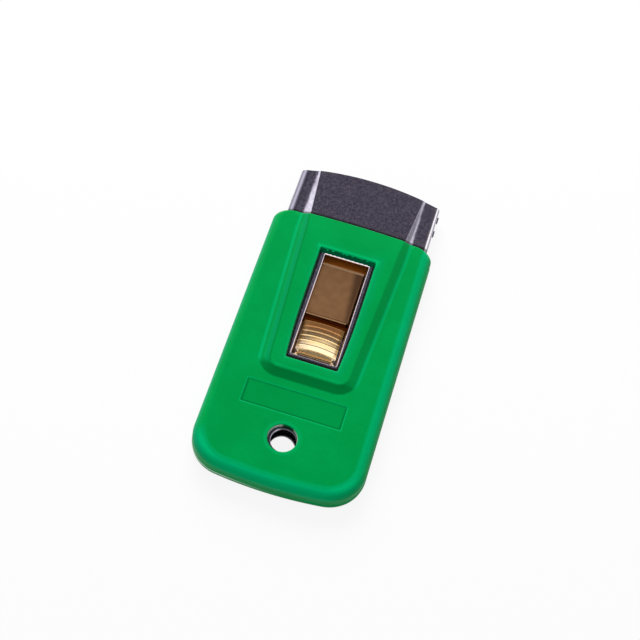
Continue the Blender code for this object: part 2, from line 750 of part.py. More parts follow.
# Thumb tongue
def pad_rise(y):
    """Height of the smooth pad above the flat tongue: up over the heel, to a peak, then level to the front."""
    start = along(PAD_START)
    length = PAD_END - PAD_START
    if y <= start:
        return 0.0
    if y < start + PAD_HEEL:
        return PAD_HEEL_RISE * (y - start) / PAD_HEEL
    share = (y - start - PAD_HEEL) / (length * PAD_PEAK_SHARE - PAD_HEEL)
    share = min(share, 1.0)
    return PAD_HEEL_RISE + (PAD_TOP_RISE - PAD_HEEL_RISE) * math.sin(share * math.pi / 2)


def build_tongue(look):
    start = along(TONGUE_START)
    pad = along(PAD_START)
    end = along(PAD_END)
    heel = pad + PAD_HEEL
    rows = [(start, 0.0), (pad, 0.0), (heel, 0.0)]
    ribs = int((end - heel) / RIB_PITCH)
    first = end - ribs * RIB_PITCH
    for rib in range(ribs):
        for share, lift in zip(RIB_PLACE_SHARES, RIB_LIFT_SHARES):
            rows.append((first + (rib + share) * RIB_PITCH, lift * RIB_HEIGHT))
    rows.append((end, 0.0))
    tops = []
    unders = []
    for y, rib in rows:
        blend = min(max((y - heel) / (end - heel), 0.0), 1.0)
        for step in range(PAD_ACROSS_COUNT + 1):
            side = 2 * step / PAD_ACROSS_COUNT - 1
            x = CASE_OFF_CENTRE + TONGUE_HALF * side
            shape = side * side
            rise = pad_rise(y)
            crown = PAD_CROWN * shape * min(rise / PAD_HEEL_RISE, 1.0)
            fade = min(rise / PAD_HEEL_RISE, 1.0) * min(1.0, (end - y) / RIB_PITCH)
            moved = y - PAD_BULGE * shape * fade * min(1.0, blend * ribs)
            level = rise - crown
            tops.append((x, moved, TONGUE_TOP_Z + level + rib))
            unders.append((x, moved, TONGUE_UNDER_Z + level))
    width = PAD_ACROSS_COUNT + 1
    count = len(tops)
    faces = []
    for row in range(len(rows) - 1):
        for step in range(PAD_ACROSS_COUNT):
            a = row * width + step
            quad = [a, a + 1, a + width + 1, a + width]
            faces.append(quad)
            faces.append([count + index for index in reversed(quad)])
    rim = [step for step in range(width)]
    rim += [row * width + PAD_ACROSS_COUNT for row in range(1, len(rows))]
    rim += [(len(rows) - 1) * width + step for step in range(PAD_ACROSS_COUNT - 1, -1, -1)]
    rim += [row * width for row in range(len(rows) - 2, 0, -1)]
    for index, here in enumerate(rim):
        after = rim[(index + 1) % len(rim)]
        faces.append([here, count + here, count + after, after])
    tongue = from_faces("thumb_tongue", tops + unders, faces)
    for x, y in rivet_places():
        outline = circle(x, y, RIVET_SHANK_RADIUS + PIECE_GAP, RIVET_STEPS)
        cut(tongue, prism("rivet_hole", outline, TONGUE_UNDER_Z - OVERRUN, TONGUE_TOP_Z + OVERRUN))
    return finish_piece(tongue, look, 20)


def build_rivet(name, x, y, look):
    under_top = CARRIAGE_UNDER_Z - SHEET_GAP
    over_under = TONGUE_TOP_Z + PIECE_GAP
    dome = RIVET_HEAD_RADIUS * RIVET_DOME_SHARE
    profile = [
        (dome, under_top - RIVET_HEAD),
        (RIVET_HEAD_RADIUS, under_top - RIVET_HEAD / 2),
        (RIVET_HEAD_RADIUS, under_top),
        (RIVET_SHANK_RADIUS, under_top),
        (RIVET_SHANK_RADIUS, over_under),
        (RIVET_HEAD_RADIUS, over_under),
        (RIVET_HEAD_RADIUS, over_under + RIVET_HEAD / 2),
        (dome, over_under + RIVET_HEAD),
    ]
    rings = [at_level(circle(x, y, radius, RIVET_STEPS), level) for radius, level in profile]
    return finish_piece(loft(name, rings), look)


for old in list(bpy.data.objects):
    bpy.data.objects.remove(old)

green = material("sleeve_green", (0.0, 0.34, 0.075), 0.45, 0.0)
steel = material("case_steel", (0.62, 0.60, 0.64), 0.22, 1.0)
brass = material("brass", (0.72, 0.48, 0.22), 0.25, 1.0)
razor = material("razor_steel", (0.60, 0.62, 0.65), 0.18, 1.0)

build_sleeve(green)
build_upper_case(steel)
build_lower_case(steel)
build_carriage(brass)
build_tongue(brass)
build_blade(razor)
build_blade_back(steel)
for rivet_name, (rivet_x, rivet_y) in zip(("tongue_rivet_left", "tongue_rivet_right"), rivet_places()):
    build_rivet(rivet_name, rivet_x, rivet_y, brass)
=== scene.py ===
"""Looks of the pocket scraper: green sleeve, steel case, brass carriage and thumb tongue, razor blade."""

import math
from collections import namedtuple

import bmesh
import bpy
import numpy as np
from mathutils import Matrix, Vector
from mathutils.geometry import delaunay_2d_cdt


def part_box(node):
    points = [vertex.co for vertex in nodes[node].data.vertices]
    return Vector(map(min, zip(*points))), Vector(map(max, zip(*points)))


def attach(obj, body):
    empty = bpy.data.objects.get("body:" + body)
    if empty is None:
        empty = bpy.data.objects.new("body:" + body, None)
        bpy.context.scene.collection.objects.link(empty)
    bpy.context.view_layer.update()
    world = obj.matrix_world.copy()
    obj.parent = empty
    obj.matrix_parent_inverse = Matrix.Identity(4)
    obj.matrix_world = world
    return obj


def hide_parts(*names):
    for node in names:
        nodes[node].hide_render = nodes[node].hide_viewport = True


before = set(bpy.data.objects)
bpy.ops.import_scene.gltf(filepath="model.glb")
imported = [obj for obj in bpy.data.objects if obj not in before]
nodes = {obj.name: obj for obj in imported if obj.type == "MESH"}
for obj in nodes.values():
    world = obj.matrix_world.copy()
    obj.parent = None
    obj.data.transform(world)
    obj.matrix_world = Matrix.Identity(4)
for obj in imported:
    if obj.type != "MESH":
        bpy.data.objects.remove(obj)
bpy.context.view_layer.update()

# Sizes in metres: X across, Y towards the mouth, Z up. The frame's own boxes give the outer ones.
sleeve_low, sleeve_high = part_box("grip_sleeve")
case_low, case_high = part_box("upper_case")
tongue_low, tongue_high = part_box("thumb_tongue")
REAR_Y = sleeve_low.y
NOSE_Y = case_high.y
SLEEVE_HALF = sleeve_high.x
CASE_MIDDLE = (case_low.x + case_high.x) / 2
CASE_HALF = (case_high.x - case_low.x) / 2
CASE_REAR_Y = case_low.y
MESH_WELD = 3e-6
SIDE_STEPS = 16
FRONT_STEPS = 60
CORNER_STEPS = 12
BEND_STEPS = 8
CUT_LEVELS = (0.001, 0.007)

# Sleeve
SLEEVE_TOP_Z = 0.0070
SLEEVE_FRONT_Y = sleeve_high.y
SLEEVE_FRONT_BOW = 0.0007
SLEEVE_FRONT_CORNER = 0.0032
SLEEVE_REAR_CORNER = 0.0105
SLEEVE_REAR_BOW = 0.1200
SLEEVE_TOP_ROUND = 0.0028
SLEEVE_UNDER_ROUND = 0.0018
SLEEVE_FLOOR_Z = 0.0011
SLEEVE_ROOF_Z = 0.0059
SLEEVE_LIP = 0.00045
FRONT_LIP = 0.00030
FRONT_LIP_FADE = 0.0015
HOLE_LIP = 0.00045
WINDOW_CORNER = 0.00035
PIT_Z = 0.0063
CAVITY_GAP = 0.0003
CAVITY_PAST = 0.001
CAVITY_LINE_STOP = 0.0002
PARTING_Z = 0.0021
PARTING_RIDGE = 0.00014
PARTING_HALF = 0.00022

# Flash round the sleeve's window; a wave has radians per metre along X and along Y, and a share
FLASH_FRONT = 0.0010
FLASH_SIDE = 0.00028
FLASH_BITE = 0.0001
FLASH_FADE = 0.0004
FLASH_SINK = 0.0002
FLASH_CLEAR = 0.00006
RAGGED = 0.00007
RAGGED_WAVES = ((9100, 5300, 1.0), (4100, -7700, 1.0), (21000, -17000, 0.6))

# Raised panel, as half widths of its level top at places along Y
PANEL_RAISE = 0.0010
PANEL_REAR_Y = -0.0189
PANEL_REAR_HALF = 0.0113
PANEL_REAR_CORNER = 0.0028
PANEL_WAIST = (0.0133, 0.0166)
PANEL_RAMP = (0.0139, 0.0288)
PANEL_RAMP_SOFT = 0.0006
PANEL_TIP = (0.0161, 0.0521)
PANEL_TIP_RAISE = 0.00022
PANEL_PAST_TIP = 0.02
FRAME_MIDDLE = 0.0003
FRAME_SLOPE = 1 / 2.9
FRAME_SOFT = 0.00025
FRAME_HOLLOW = 1.2
FRAME_LINE_HALF = 0.0150
STEEL_SLOPE = 1 / 3.0
STEEL_SOFT = 0.00012
STEEL_LINE_HALF = 0.0175

# Windows, hole and name plate recess: middle and half sizes or radius
SLEEVE_WINDOW = (CASE_MIDDLE + 0.0001, 0.00425, 0.0083, 0.01925)
WINDOW_NARROWS = 0.11
STEEL_WINDOW = (CASE_MIDDLE + 0.00015, 0.00475, 0.00655, 0.01765)
STEEL_WINDOW_CORNER = 0.0002
SLEEVE_HOLE = (-0.0004, -0.0392, 0.0040)
STEEL_HOLE = (0.0, -0.0392, 0.0035)
PLATE = (-0.00045, -0.02815, 0.0142, 0.00375)
PLATE_DEPTH = 0.00013
PLATE_WALL = 0.00010
PLATE_LOOP_SHARES = (-3.0, -1.0, -0.6, -0.2, 0.2, 0.6, 1.0, 3.0)

# Steel case
STEEL_SHEET = 0.0005
CASE_UNDER_Z = 0.0013
CASE_TOP_Z = 0.0057
CASE_CORNER = 0.0080
CASE_REAR_BOW = 0.1173
CASE_BEND = 0.0012
LEFT_BEND_SHARE = 2.0
NOSE_BOW = 0.0029
STEEL_LIP = 0.00032
NOSE_LIP = 0.00020
STEEL_HOLE_LIP = 0.00016
TAB_ROOM = (0.001, 0.0013)
TAB_ROOM_CORNER = 0.0003
TAB_ROOM_TOP_Z = 0.0020
TAB_PLACES = ((1, 0.0492), (1, 0.0440), (-1, 0.0419))
FLOOR_EASE = 0.00008

# Thumb tongue
TONGUE_UNDER_Z = 0.00385
TONGUE_SHEET = 0.00030
TONGUE_COLUMNS = 44
PAD_REAR_Y = -0.0101
PAD_FOOT_X = (0.0046, 0.0053)
PAD_FOOT_LENGTH = 0.0020
PAD_FOOT_ROOM = 0.0003
PAD_FRONT_Y = -0.0002
PAD_HEEL = 0.0007
PAD_HEEL_RISE = 0.0008
PAD_TOP_RISE = 0.0015
PAD_PEAK_SHARE = 0.72
PAD_CROWN = 0.0005
PAD_BULGE = 0.0005
PAD_ROWS = 260
RIB_COUNT = 7
RIB_PITCH = 0.00155
RIB_HEIGHT = 0.00006
RIB_PHASE = 0.92
RIB_SHARPNESS = 0.08
RIB_FADE = 0.0009
RIVET_Y = -0.0227
RIVET_SPACING = 0.0068
RIVET_ROOM = 0.0010

# Brass carriage
SHEET_GAP = 0.0002
BRASS_SHEET = 0.00045
BRASS_EASE = 0.00018
CARRIAGE_UNDER_Z = 0.0032
CARRIAGE_TAIL_HALF = 0.0085
CARRIAGE_WIDE_Y = -0.0012
OPENING_HALF = 0.0063
OPENING_REAR_Y = -0.0197
PLATFORM = (0.0024, 0.0204)
BRIDGE_REAR_Y = -0.0002
PLATFORM_TOP_Z = 0.0052
PLATFORM_LEFT = (0.0063, 0.0069)
PLATFORM_RIGHT = (0.0056, 0.0068)
PLATFORM_ROLL = 0.75
SKIRT = [(0.0001, 0.0), (0.0, 0.0), (-0.00025, 0.0001), (-0.0004, 0.00035), (-0.00045, 0.0007)]
SKIRT += [(-0.00045, 0.0018), (0.0, 0.0018), (0.0, 0.0007), (0.0001, 0.00045)]
NIB_FROM_BACK = 0.0080
NIB_HALF = 0.0013
NIB_NEAR = 0.0005
NIB_FAR = 0.0029
LIP_NEAR = 0.00205
LIP_FAR = 0.01005

# Floor, light and camera
FLOOR_HALF = 3
FLOOR_Z = -0.0001
KEY_SPOT = (-0.26, 0.71, 0.55)
KEY_SIZE = (0.70, 0.60)
KEY_POWER = 9.0
CAMERA_SPOT = (0.0244, -0.2257, 0.3621)
CAMERA_LENS = 84.375
CAMERA_TILT = math.radians(57.4)
CAMERA_TURN = math.radians(6.46)
CAMERA_ROLL = math.radians(11.33)

Plate = namedtuple("Plate", "middle half rear corner bow front_corner front")


# Making meshes
def put(name, data):
    """A new object in the scene."""
    made = bpy.data.objects.new(name, data)
    bpy.context.scene.collection.objects.link(made)
    return made


def add_piece(name, points, faces):
    """A new object from points and faces, turned outwards."""
    mesh = bpy.data.meshes.new(name)
    mesh.from_pydata(points, [], faces)
    work = bmesh.new()
    work.from_mesh(mesh)
    bmesh.ops.remove_doubles(work, verts=work.verts, dist=MESH_WELD)
    bmesh.ops.recalc_face_normals(work, faces=work.faces)
    work.to_mesh(mesh)
    work.free()
    return put(name, mesh)


def dress(made, look, soften):
    """Smooth shading up to an angle, and the finish."""
    made.data.materials.clear()
    made.data.materials.append(look)
    made.data.shade_smooth()
    made.data.set_sharp_from_angle(angle=math.radians(soften))
    made.modifiers.new("level", "WEIGHTED_NORMAL").keep_sharp = True
    return made


def ease_edges(made, look, width):
    """Round the sharp edges by a hair, so that they catch the light."""
    ease = made.modifiers.new("ease", "BEVEL")
    ease.width = width
    ease.segments = 3
    ease.limit_method = "ANGLE"
    ease.angle_limit = math.radians(30)
    return dress(made, look, 60)


def carve(target, tool, operation="DIFFERENCE"):
    """Cut the tool's volume out of the target, or add it."""
    step = target.modifiers.new("carve", "BOOLEAN")
    step.operation = operation
    step.solver = "EXACT"
    step.object = tool
    graph = bpy.context.evaluated_depsgraph_get()
    target.data = bpy.data.meshes.new_from_object(target.evaluated_get(graph))
    target.modifiers.remove(step)
    bpy.data.objects.remove(tool)


def join(target, extra):
    """Put the extra piece's mesh into the target's."""
    work = bmesh.new()
    work.from_mesh(target.data)
    work.from_mesh(extra.data)
    work.to_mesh(target.data)
    work.free()
    bpy.data.objects.remove(extra)


def spread(start, end, count):
    """Evenly set values from start to end."""
    return [start + (end - start) * step / count for step in range(count + 1)]


def arc(middle_x, middle_y, radius, start, end, steps):
    turns = [math.radians(turn) for turn in spread(start, end, steps)]
    return [(middle_x + radius * math.cos(a), middle_y + radius * math.sin(a)) for a in turns]


def circle(middle_x, middle_y, radius, steps):
    return arc(middle_x, middle_y, radius, 0, 360, steps)[:-1]


def quarter(radius, steps):
    """A round edge from upright to level, as distances in and up."""
    turns = spread(0.0, math.pi / 2, steps)
    return [(radius * (1 - math.cos(a)), radius * math.sin(a)) for a in turns]


def bowed(middle_y, bow, half_width):
    radius = (half_width**2 + bow**2) / (2 * bow)
    return lambda x: middle_y - radius + np.sqrt(radius**2 - np.square(x))


def plan_outline(shape, inset, front_shares):
    """One level of a plate with round rear corners, seen from above, anticlockwise from the right front."""
    middle, half, rear, corner, bow, front_corner, front = shape
    corner_x = half - corner
    bow_y = rear + bow
    corner_y = bow_y - math.sqrt((bow - corner) ** 2 - corner_x**2)
    lean = math.degrees(math.asin(corner_x / (bow - corner)))
    reach = half - inset - front_corner
    points = []
    if front_corner:
        front_y = front(reach) - front_corner
        points += arc(reach, front_y, front_corner, 0, 90, CORNER_STEPS)[:-1]
    points += [(reach * share, front(reach * share)) for share in front_shares]
    if front_corner:
        points += arc(-reach, front_y, front_corner, 90, 180, CORNER_STEPS)[1:]
    points += [(inset - half, y) for y in spread(points[-1][1], corner_y, SIDE_STEPS)[1:-1]]
    points += arc(-corner_x, corner_y, corner - inset, 180, 270 - lean, 24)
    points += arc(0.0, bow_y, bow - inset, 270 - lean, 270 + lean, 20)[1:-1]
    points += arc(corner_x, corner_y, corner - inset, 270 + lean, 360, 24)
    points += [(half - inset, y) for y in spread(corner_y, points[0][1], SIDE_STEPS)[1:-1]]
    return [(middle + x, float(y)) for x, y in points]


def round_rect(middle_x, middle_y, half_x, half_y, corner, grow, spacing=0.0003):
    """A rectangle with round corners, grown outwards, drawn anticlockwise with closely set points."""
    radius = max(corner + grow, 0.0)
    inner_x, inner_y = half_x + grow - radius, half_y + grow - radius
    corners = []
    for start, side_x, side_y in ((0, 1, 1), (90, -1, 1), (180, -1, -1), (270, 1, -1)):
        turned = arc(side_x * inner_x, side_y * inner_y, radius, start, start + 90, 5)
        corners += turned if radius > 0 else turned[:1]
    points = []
    for begin, end in zip(corners, corners[1:] + corners[:1]):
        count = max(1, round(math.dist(begin, end) / spacing))
        for step in range(count):
            x, y = (a + (b - a) * (step / count) for a, b in zip(begin, end))
            points.append((middle_x + x, middle_y + y))
    return points


def rect_distance(x, y, middle_x, middle_y, half_x, half_y, corner):
    """Distance outside a rectangle with round corners; negative inside."""
    over_x = np.abs(x - middle_x) - (half_x - corner)
    over_y = np.abs(y - middle_y) - (half_y - corner)
    outside = np.hypot(np.maximum(over_x, 0), np.maximum(over_y, 0))
    return outside + np.minimum(np.maximum(over_x, over_y), 0) - corner


def hole_distance(x, y, hole):
    """Distance outside a round hole; negative inside."""
    return np.hypot(x - hole[0], y - hole[1]) - hole[2]


def lip_drop(distance, radius):
    """How far a rounded edge falls at a distance in from the edge."""
    radius = np.maximum(radius, 1e-9)
    within = np.clip(radius - distance, 0, radius)
    return radius - np.sqrt(np.maximum(radius**2 - within**2, 0))


def lip_steps(radius, count=5):
    """Distances in from an edge at which its rounding is sampled, without the edge itself."""
    return [radius * (1 - math.sin(math.pi / 2 * step / count)) for step in range(count - 1, -1, -1)]


def hole_lips(hole, lip, steps, count=5):
    """Circles round a hole that show its rounded lip."""
    return [circle(hole[0], hole[1], hole[2] + grow, steps) for grow in lip_steps(lip, count)]


def above_zero(value, soft):
    """The larger of a value and zero, with the bend between them rounded over soft either side."""
    value = np.asarray(value, float)
    bend = np.square(value + soft) / (4 * soft)
    return np.where(value < -soft, 0.0, np.where(value > soft, value, bend))


def inside_loop(x, y, loop):
    """Which points are inside a closed loop."""
    inside = np.zeros(len(x), bool)
    for (x_a, y_a), (x_b, y_b) in zip(loop, loop[1:] + loop[:1]):
        if y_a != y_b:
            crosses = (y_a > y) != (y_b > y)
            inside ^= crosses & (x < (x_b - x_a) * (y - y_a) / (y_b - y_a) + x_a)
    return inside


def panel_line(grow):
    """The edge of the raised panel's level top, grown outwards: right tip, round the rear, left tip."""
    corner_x = PANEL_REAR_HALF - PANEL_REAR_CORNER
    corner_y = PANEL_REAR_Y + PANEL_REAR_CORNER
    stations = [PANEL_TIP, PANEL_RAMP, PANEL_WAIST, (PANEL_REAR_HALF, corner_y)]
    right = []
    for (wide_a, y_a), (wide_b, y_b) in zip(stations, stations[1:]):
        length = math.hypot(wide_a - wide_b, y_a - y_b)
        out_x, out_y = (y_a - y_b) / length * grow, (wide_b - wide_a) / length * grow
        along = zip(spread(wide_a, wide_b, 6), spread(y_a, y_b, 6))
        right += [(x + out_x, y + out_y) for x, y in along]
    right += arc(corner_x, corner_y, PANEL_REAR_CORNER + grow, 0, -90, 14)
    return right + [(-x, y) for x, y in reversed(right)]


def panel_distance(x, y):
    """Distance outside the level top's edge, taking the panel to run on past its tip; negative inside."""
    slope = (PANEL_TIP[0] - PANEL_RAMP[0]) / (PANEL_TIP[1] - PANEL_RAMP[1])
    far_x, far_y = PANEL_TIP[0] + slope * PANEL_PAST_TIP, PANEL_TIP[1] + PANEL_PAST_TIP
    line = [(far_x, far_y), *panel_line(0.0), (-far_x, far_y)]
    best = np.full(len(x), 1e9)
    for (x_a, y_a), (x_b, y_b) in zip(line, line[1:]):
        run_x, run_y = x_b - x_a, y_b - y_a
        size = max(run_x**2 + run_y**2, 1e-18)
        share = np.clip(((x - x_a) * run_x + (y - y_a) * run_y) / size, 0, 1)
        best = np.minimum(best, np.hypot(x - x_a - share * run_x, y - y_a - share * run_y))
    return np.where(inside_loop(x, y, line), -best, best)


def panel_height(x, y, slope, soft, hollow=1.0):
    """Height of the raised panel over the flat round it: level, then a slope that eases off at its foot."""
    fall = (PANEL_RAISE - PANEL_TIP_RAISE) / (PANEL_TIP[1] - PANEL_RAMP[1])
    full = PANEL_RAISE - fall * above_zero(y - PANEL_RAMP[1], PANEL_RAMP_SOFT)
    full = np.maximum(full, 1e-5)
    down = slope * above_zero(panel_distance(x, y), soft) / full
    return full * np.clip(1 - down, 0, 1) ** hollow


def panel_rows(middle, slope, soft):
    """Lines that follow the panel's edge closely enough to show its bends."""
    run = PANEL_RAISE / slope
    places = [-soft, -soft / 2, 0.0, soft / 2, soft]
    places += [soft + (run - soft) * share for share in (0.2, 0.4, 0.6, 0.8, 0.93, 1.0)]
    return [[(middle + x, y) for x, y in panel_line(grow)] for grow in places]


def ramp_rows(middle, half):
    """Lines across the panel either side of the bend where it starts to fall towards the nose."""
    ys = (PANEL_RAMP[1] - PANEL_RAMP_SOFT, PANEL_RAMP[1] + PANEL_RAMP_SOFT)
    return [[(middle - half, y), (middle + half, y)] for y in ys]


def steel_level(x, y):
    """Height of the case's upper face before its edges are rounded."""
    return CASE_TOP_Z + panel_height(x - CASE_MIDDLE, y, STEEL_SLOPE, STEEL_SOFT)


def plan_mesh(outline, openings, loops, lines):
    """Triangles that fill a plan between its outline and openings, with edges along every loop and line."""
    points, edges = [], []
    for loop in [outline, *openings, *loops]:
        first = len(points)
        points += loop
        edges += [(first + i, first + (i + 1) % len(loop)) for i in range(len(loop))]
    for line in lines:
        first = len(points)
        points += line
        edges += [(first + i, first + i + 1) for i in range(len(line) - 1)]
    scale = 1000.0
    found = delaunay_2d_cdt([Vector((x * scale, y * scale)) for x, y in points], edges, [], 0, 1e-5, False)
    plan = np.array([(v.x / scale, v.y / scale) for v in found[0]])
    faces = [list(face) for face in found[2]]
    middle_x, middle_y = np.array([plan[face].mean(0) for face in faces]).T
    keep = inside_loop(middle_x, middle_y, outline)
    for opening in openings:
        keep &= ~inside_loop(middle_x, middle_y, opening)
    return plan, [face for face, kept in zip(faces, keep) if kept]


def raised(plan, levels):
    """Points over a plan, at one level or at their own levels."""
    levels = np.broadcast_to(levels, len(plan)).tolist()
    return [(x, y, z) for (x, y), z in zip(np.asarray(plan).tolist(), levels)]


def nearest(plan, spot):
    return int(np.argmin(np.hypot(plan[:, 0] - spot[0], plan[:, 1] - spot[1])))


def rows_from(first, width, count):
    """The numbers of points that were added row after row."""
    return [range(first + width * row, first + width * (row + 1)) for row in range(count)]


def strip(first, second, closed=True):
    """Quads between two rows of points, given by their numbers."""
    count = len(first)
    last = count if closed else count - 1
    return [[first[i], first[(i + 1) % count], second[(i + 1) % count], second[i]] for i in range(last)]


def skin(rows, closed=True):
    """Quads between each row of points and the next."""
    return [face for first, second in zip(rows, rows[1:]) for face in strip(first, second, closed)]


def open_edges(faces):
    """The edges that only one face has."""
    used = {(face[i], face[(i + 1) % len(face)]) for face in faces for i in range(len(face))}
    return [(a, b) for a, b in used if (b, a) not in used]


def boundary_loop(faces, start=None):
    """The points round the edge of a patch of faces, in order, from a given point if there is one."""
    after = dict(open_edges(faces))
    loop = [next(iter(after)) if start is None else start]
    while after[loop[-1]] != loop[0]:
        loop.append(after[loop[-1]])
    return loop


def thicken(outer, inner, faces):
    """A sheet between two matching sets of points, closed along every open edge."""
    count = len(outer)
    rim = [[a, b, count + b, count + a] for a, b in open_edges(faces)]
    back = [[count + i for i in reversed(face)] for face in faces]
    return outer + inner, faces + back + rim


def drawn(rows, name="tool"):
    """A solid drawn out through closed rows of points."""
    numbers = rows_from(0, len(rows[0]), len(rows))
    ends = [list(numbers[0]), list(numbers[-1])]
    return add_piece(name, [p for row in rows for p in row], ends + skin(numbers))


def prism(outline, under, top, name="tool"):
    """A plate with a given outline between two levels."""
    return drawn([raised(outline, under), raised(outline, top)], name)


def slab(low_x, high_x, low_y, high_y, under, top):
    return prism([(low_x, low_y), (high_x, low_y), (high_x, high_y), (low_x, high_y)], under, top)


def drill_rivets(sheet):
    """Cut the rooms for both rivets through a sheet."""
    for side in (-1, 1):
        room = circle(CASE_MIDDLE + side * RIVET_SPACING / 2, RIVET_Y, RIVET_ROOM, 24)
        carve(sheet, prism(room, *CUT_LEVELS))


# Making finishes
def maths(operation, swapped=False):
    """An operator on a wire that adds a Math node."""

    def work(self, other):
        pair = (other, self) if swapped else (self, other)
        return self.recipe.node("ShaderNodeMath", {"operation": operation}, dict(enumerate(pair)))

    return work


class Wire:
    """One value in a material's recipe; sums on it add the nodes that work them out."""

    __add__ = __radd__ = maths("ADD")
    __sub__ = maths("SUBTRACT")
    __rsub__ = maths("SUBTRACT", swapped=True)
    __mul__ = __rmul__ = maths("MULTIPLY")
    __truediv__ = maths("DIVIDE")
    __pow__ = maths("POWER")
    below = maths("MINIMUM")
    above = maths("MAXIMUM")

    def __init__(self, recipe, socket):
        self.recipe = recipe
        self.socket = socket

    def size(self):
        return self.recipe.node("ShaderNodeMath", {"operation": "ABSOLUTE"}, {0: self})

    def ramp(self, low, high):
        """0 at low, 1 at high, smooth between."""
        inputs = {"Value": self, "From Min": low, "From Max": high}
        return self.recipe.node("ShaderNodeMapRange", {"interpolation_type": "SMOOTHSTEP"}, inputs)


class Recipe:
    """The nodes of one material or world, and the colour painted so far."""

    def __init__(self, name, owner=None):
        self.owner = owner or bpy.data.materials.new(name)
        self.owner.use_nodes = True
        self.tree = self.owner.node_tree
        self.colour = None

    def node(self, kind, settings=None, inputs=None, out=0):
        made = self.tree.nodes.new(kind)
        for key, value in (settings or {}).items():
            setattr(made, key, value)
        for key, value in (inputs or {}).items():
            self.feed(made.inputs[key], value)
        return Wire(self, made.outputs[out])

    def feed(self, socket, value):
        if isinstance(value, Wire):
            self.tree.links.new(value.socket, socket)
        else:
            socket.default_value = (*value, 1) if socket.type == "RGBA" else value

    def parts(self, vector):
        split = self.node("ShaderNodeSeparateXYZ", inputs={0: vector}).socket.node
        return [Wire(self, socket) for socket in split.outputs]

    def place(self):
        """Where a point is on the piece, and its three parts."""
        spot = self.node("ShaderNodeTexCoord", out="Object")
        return spot, self.parts(spot)

    def ray(self, kind):
        return self.node("ShaderNodeLightPath", out=f"Is {kind} Ray")

    def noise(self, spot, scale, detail, rough=0.5):
        inputs = {"Vector": spot, "Scale": scale, "Detail": detail, "Roughness": rough}
        return self.node("ShaderNodeTexNoise", inputs=inputs)

    def streaks(self, spot, scales, detail, rough):
        """Noise drawn out along the axis with the smallest scale."""
        stretched = self.node("ShaderNodeVectorMath", {"operation": "MULTIPLY"}, {0: spot, 1: scales})
        return self.noise(stretched, 1.0, detail, rough)

    def mix(self, share, first, second):
        return self.node("ShaderNodeMix", {"data_type": "RGBA"}, {0: share, 6: first, 7: second}, out=2)

    def paint(self, share, colour):
        """Lay a colour over what is painted so far."""
        self.colour = self.mix(share, self.colour, colour)

    def bump(self, height, distance, strength, under=None):
        inputs = {"Height": height, "Distance": distance, "Strength": strength}
        if under:
            inputs["Normal"] = under
        return self.node("ShaderNodeBump", inputs=inputs)

    def surface(self, **inputs):
        """Feed the shader, with the painted colour as its base."""
        shader = self.tree.nodes["Principled BSDF"]
        self.feed(shader.inputs["Base Color"], self.colour)
        for key, value in inputs.items():
            self.feed(shader.inputs[key.replace("_", " ")], value)
        return self.owner


def rect_gap(x, y, rect):
    """Distance outside a rectangle, negative inside, as a value in a recipe."""
    middle_x, middle_y, half_x, half_y = rect
    return ((x - middle_x).size() - half_x).above((y - middle_y).size() - half_y)


def hole_gap(x, y, hole):
    """Distance outside a round hole, as a value in a recipe."""
    out_x, out_y = x - hole[0], y - hole[1]
    return (out_x * out_x + out_y * out_y) ** 0.5 - hole[2]


def band(value, low, high, soft):
    """1 between low and high, falling to 0 over soft either side."""
    return value.ramp(low - soft, low) * value.ramp(high + soft, high)


def corner_gap(over_x, over_y, corner):
    """Distance outside a shape with a round corner, from how far a point is past its middle."""
    out_x, out_y = over_x.above(0.0), over_y.above(0.0)
    return (out_x * out_x + out_y * out_y) ** 0.5 + over_x.above(over_y).below(0.0) - corner


def rim_depth(x, y):
    """Distance in from the sleeve's side and rear outline, as a value in a recipe."""
    over_x = x.size() - (SLEEVE_HALF - SLEEVE_REAR_CORNER)
    over_y = x * x / (2 * SLEEVE_REAR_BOW) + (REAR_Y + SLEEVE_REAR_CORNER) - y
    return 0.0 - corner_gap(over_x, over_y, SLEEVE_REAR_CORNER)


def panel_gap(x, y, slope):
    """Distances outside the raised panel's level top and outside its foot, as values in a recipe."""
    corner_y = PANEL_REAR_Y + PANEL_REAR_CORNER
    grow = (PANEL_RAMP[0] - PANEL_REAR_HALF) / (PANEL_RAMP[1] - corner_y)
    flare = (PANEL_TIP[0] - PANEL_RAMP[0]) / (PANEL_TIP[1] - PANEL_RAMP[1]) - grow
    fall = (1 - PANEL_TIP_RAISE / PANEL_RAISE) / (PANEL_TIP[1] - PANEL_RAMP[1])
    past = (y - PANEL_RAMP[1]).above(0.0)
    half = (y - corner_y) * grow + past * flare + PANEL_REAR_HALF
    top = corner_gap(x.size() - half + PANEL_REAR_CORNER, corner_y - y, PANEL_REAR_CORNER)
    return top, top - (1 - past * fall) * (PANEL_RAISE / slope)


def sleeve_window_gap(x, y):
    """Distance outside the sleeve's window, which narrows to the rear, as a value in a recipe."""
    middle_x, middle_y, half_x, half_y = SLEEVE_WINDOW
    behind = ((middle_y + half_y - y) / (2 * half_y)).above(0.0)
    squeezed = middle_x + (x - middle_x) / (1 - behind**4.0 * WINDOW_NARROWS)
    return rect_gap(squeezed, y, SLEEVE_WINDOW)


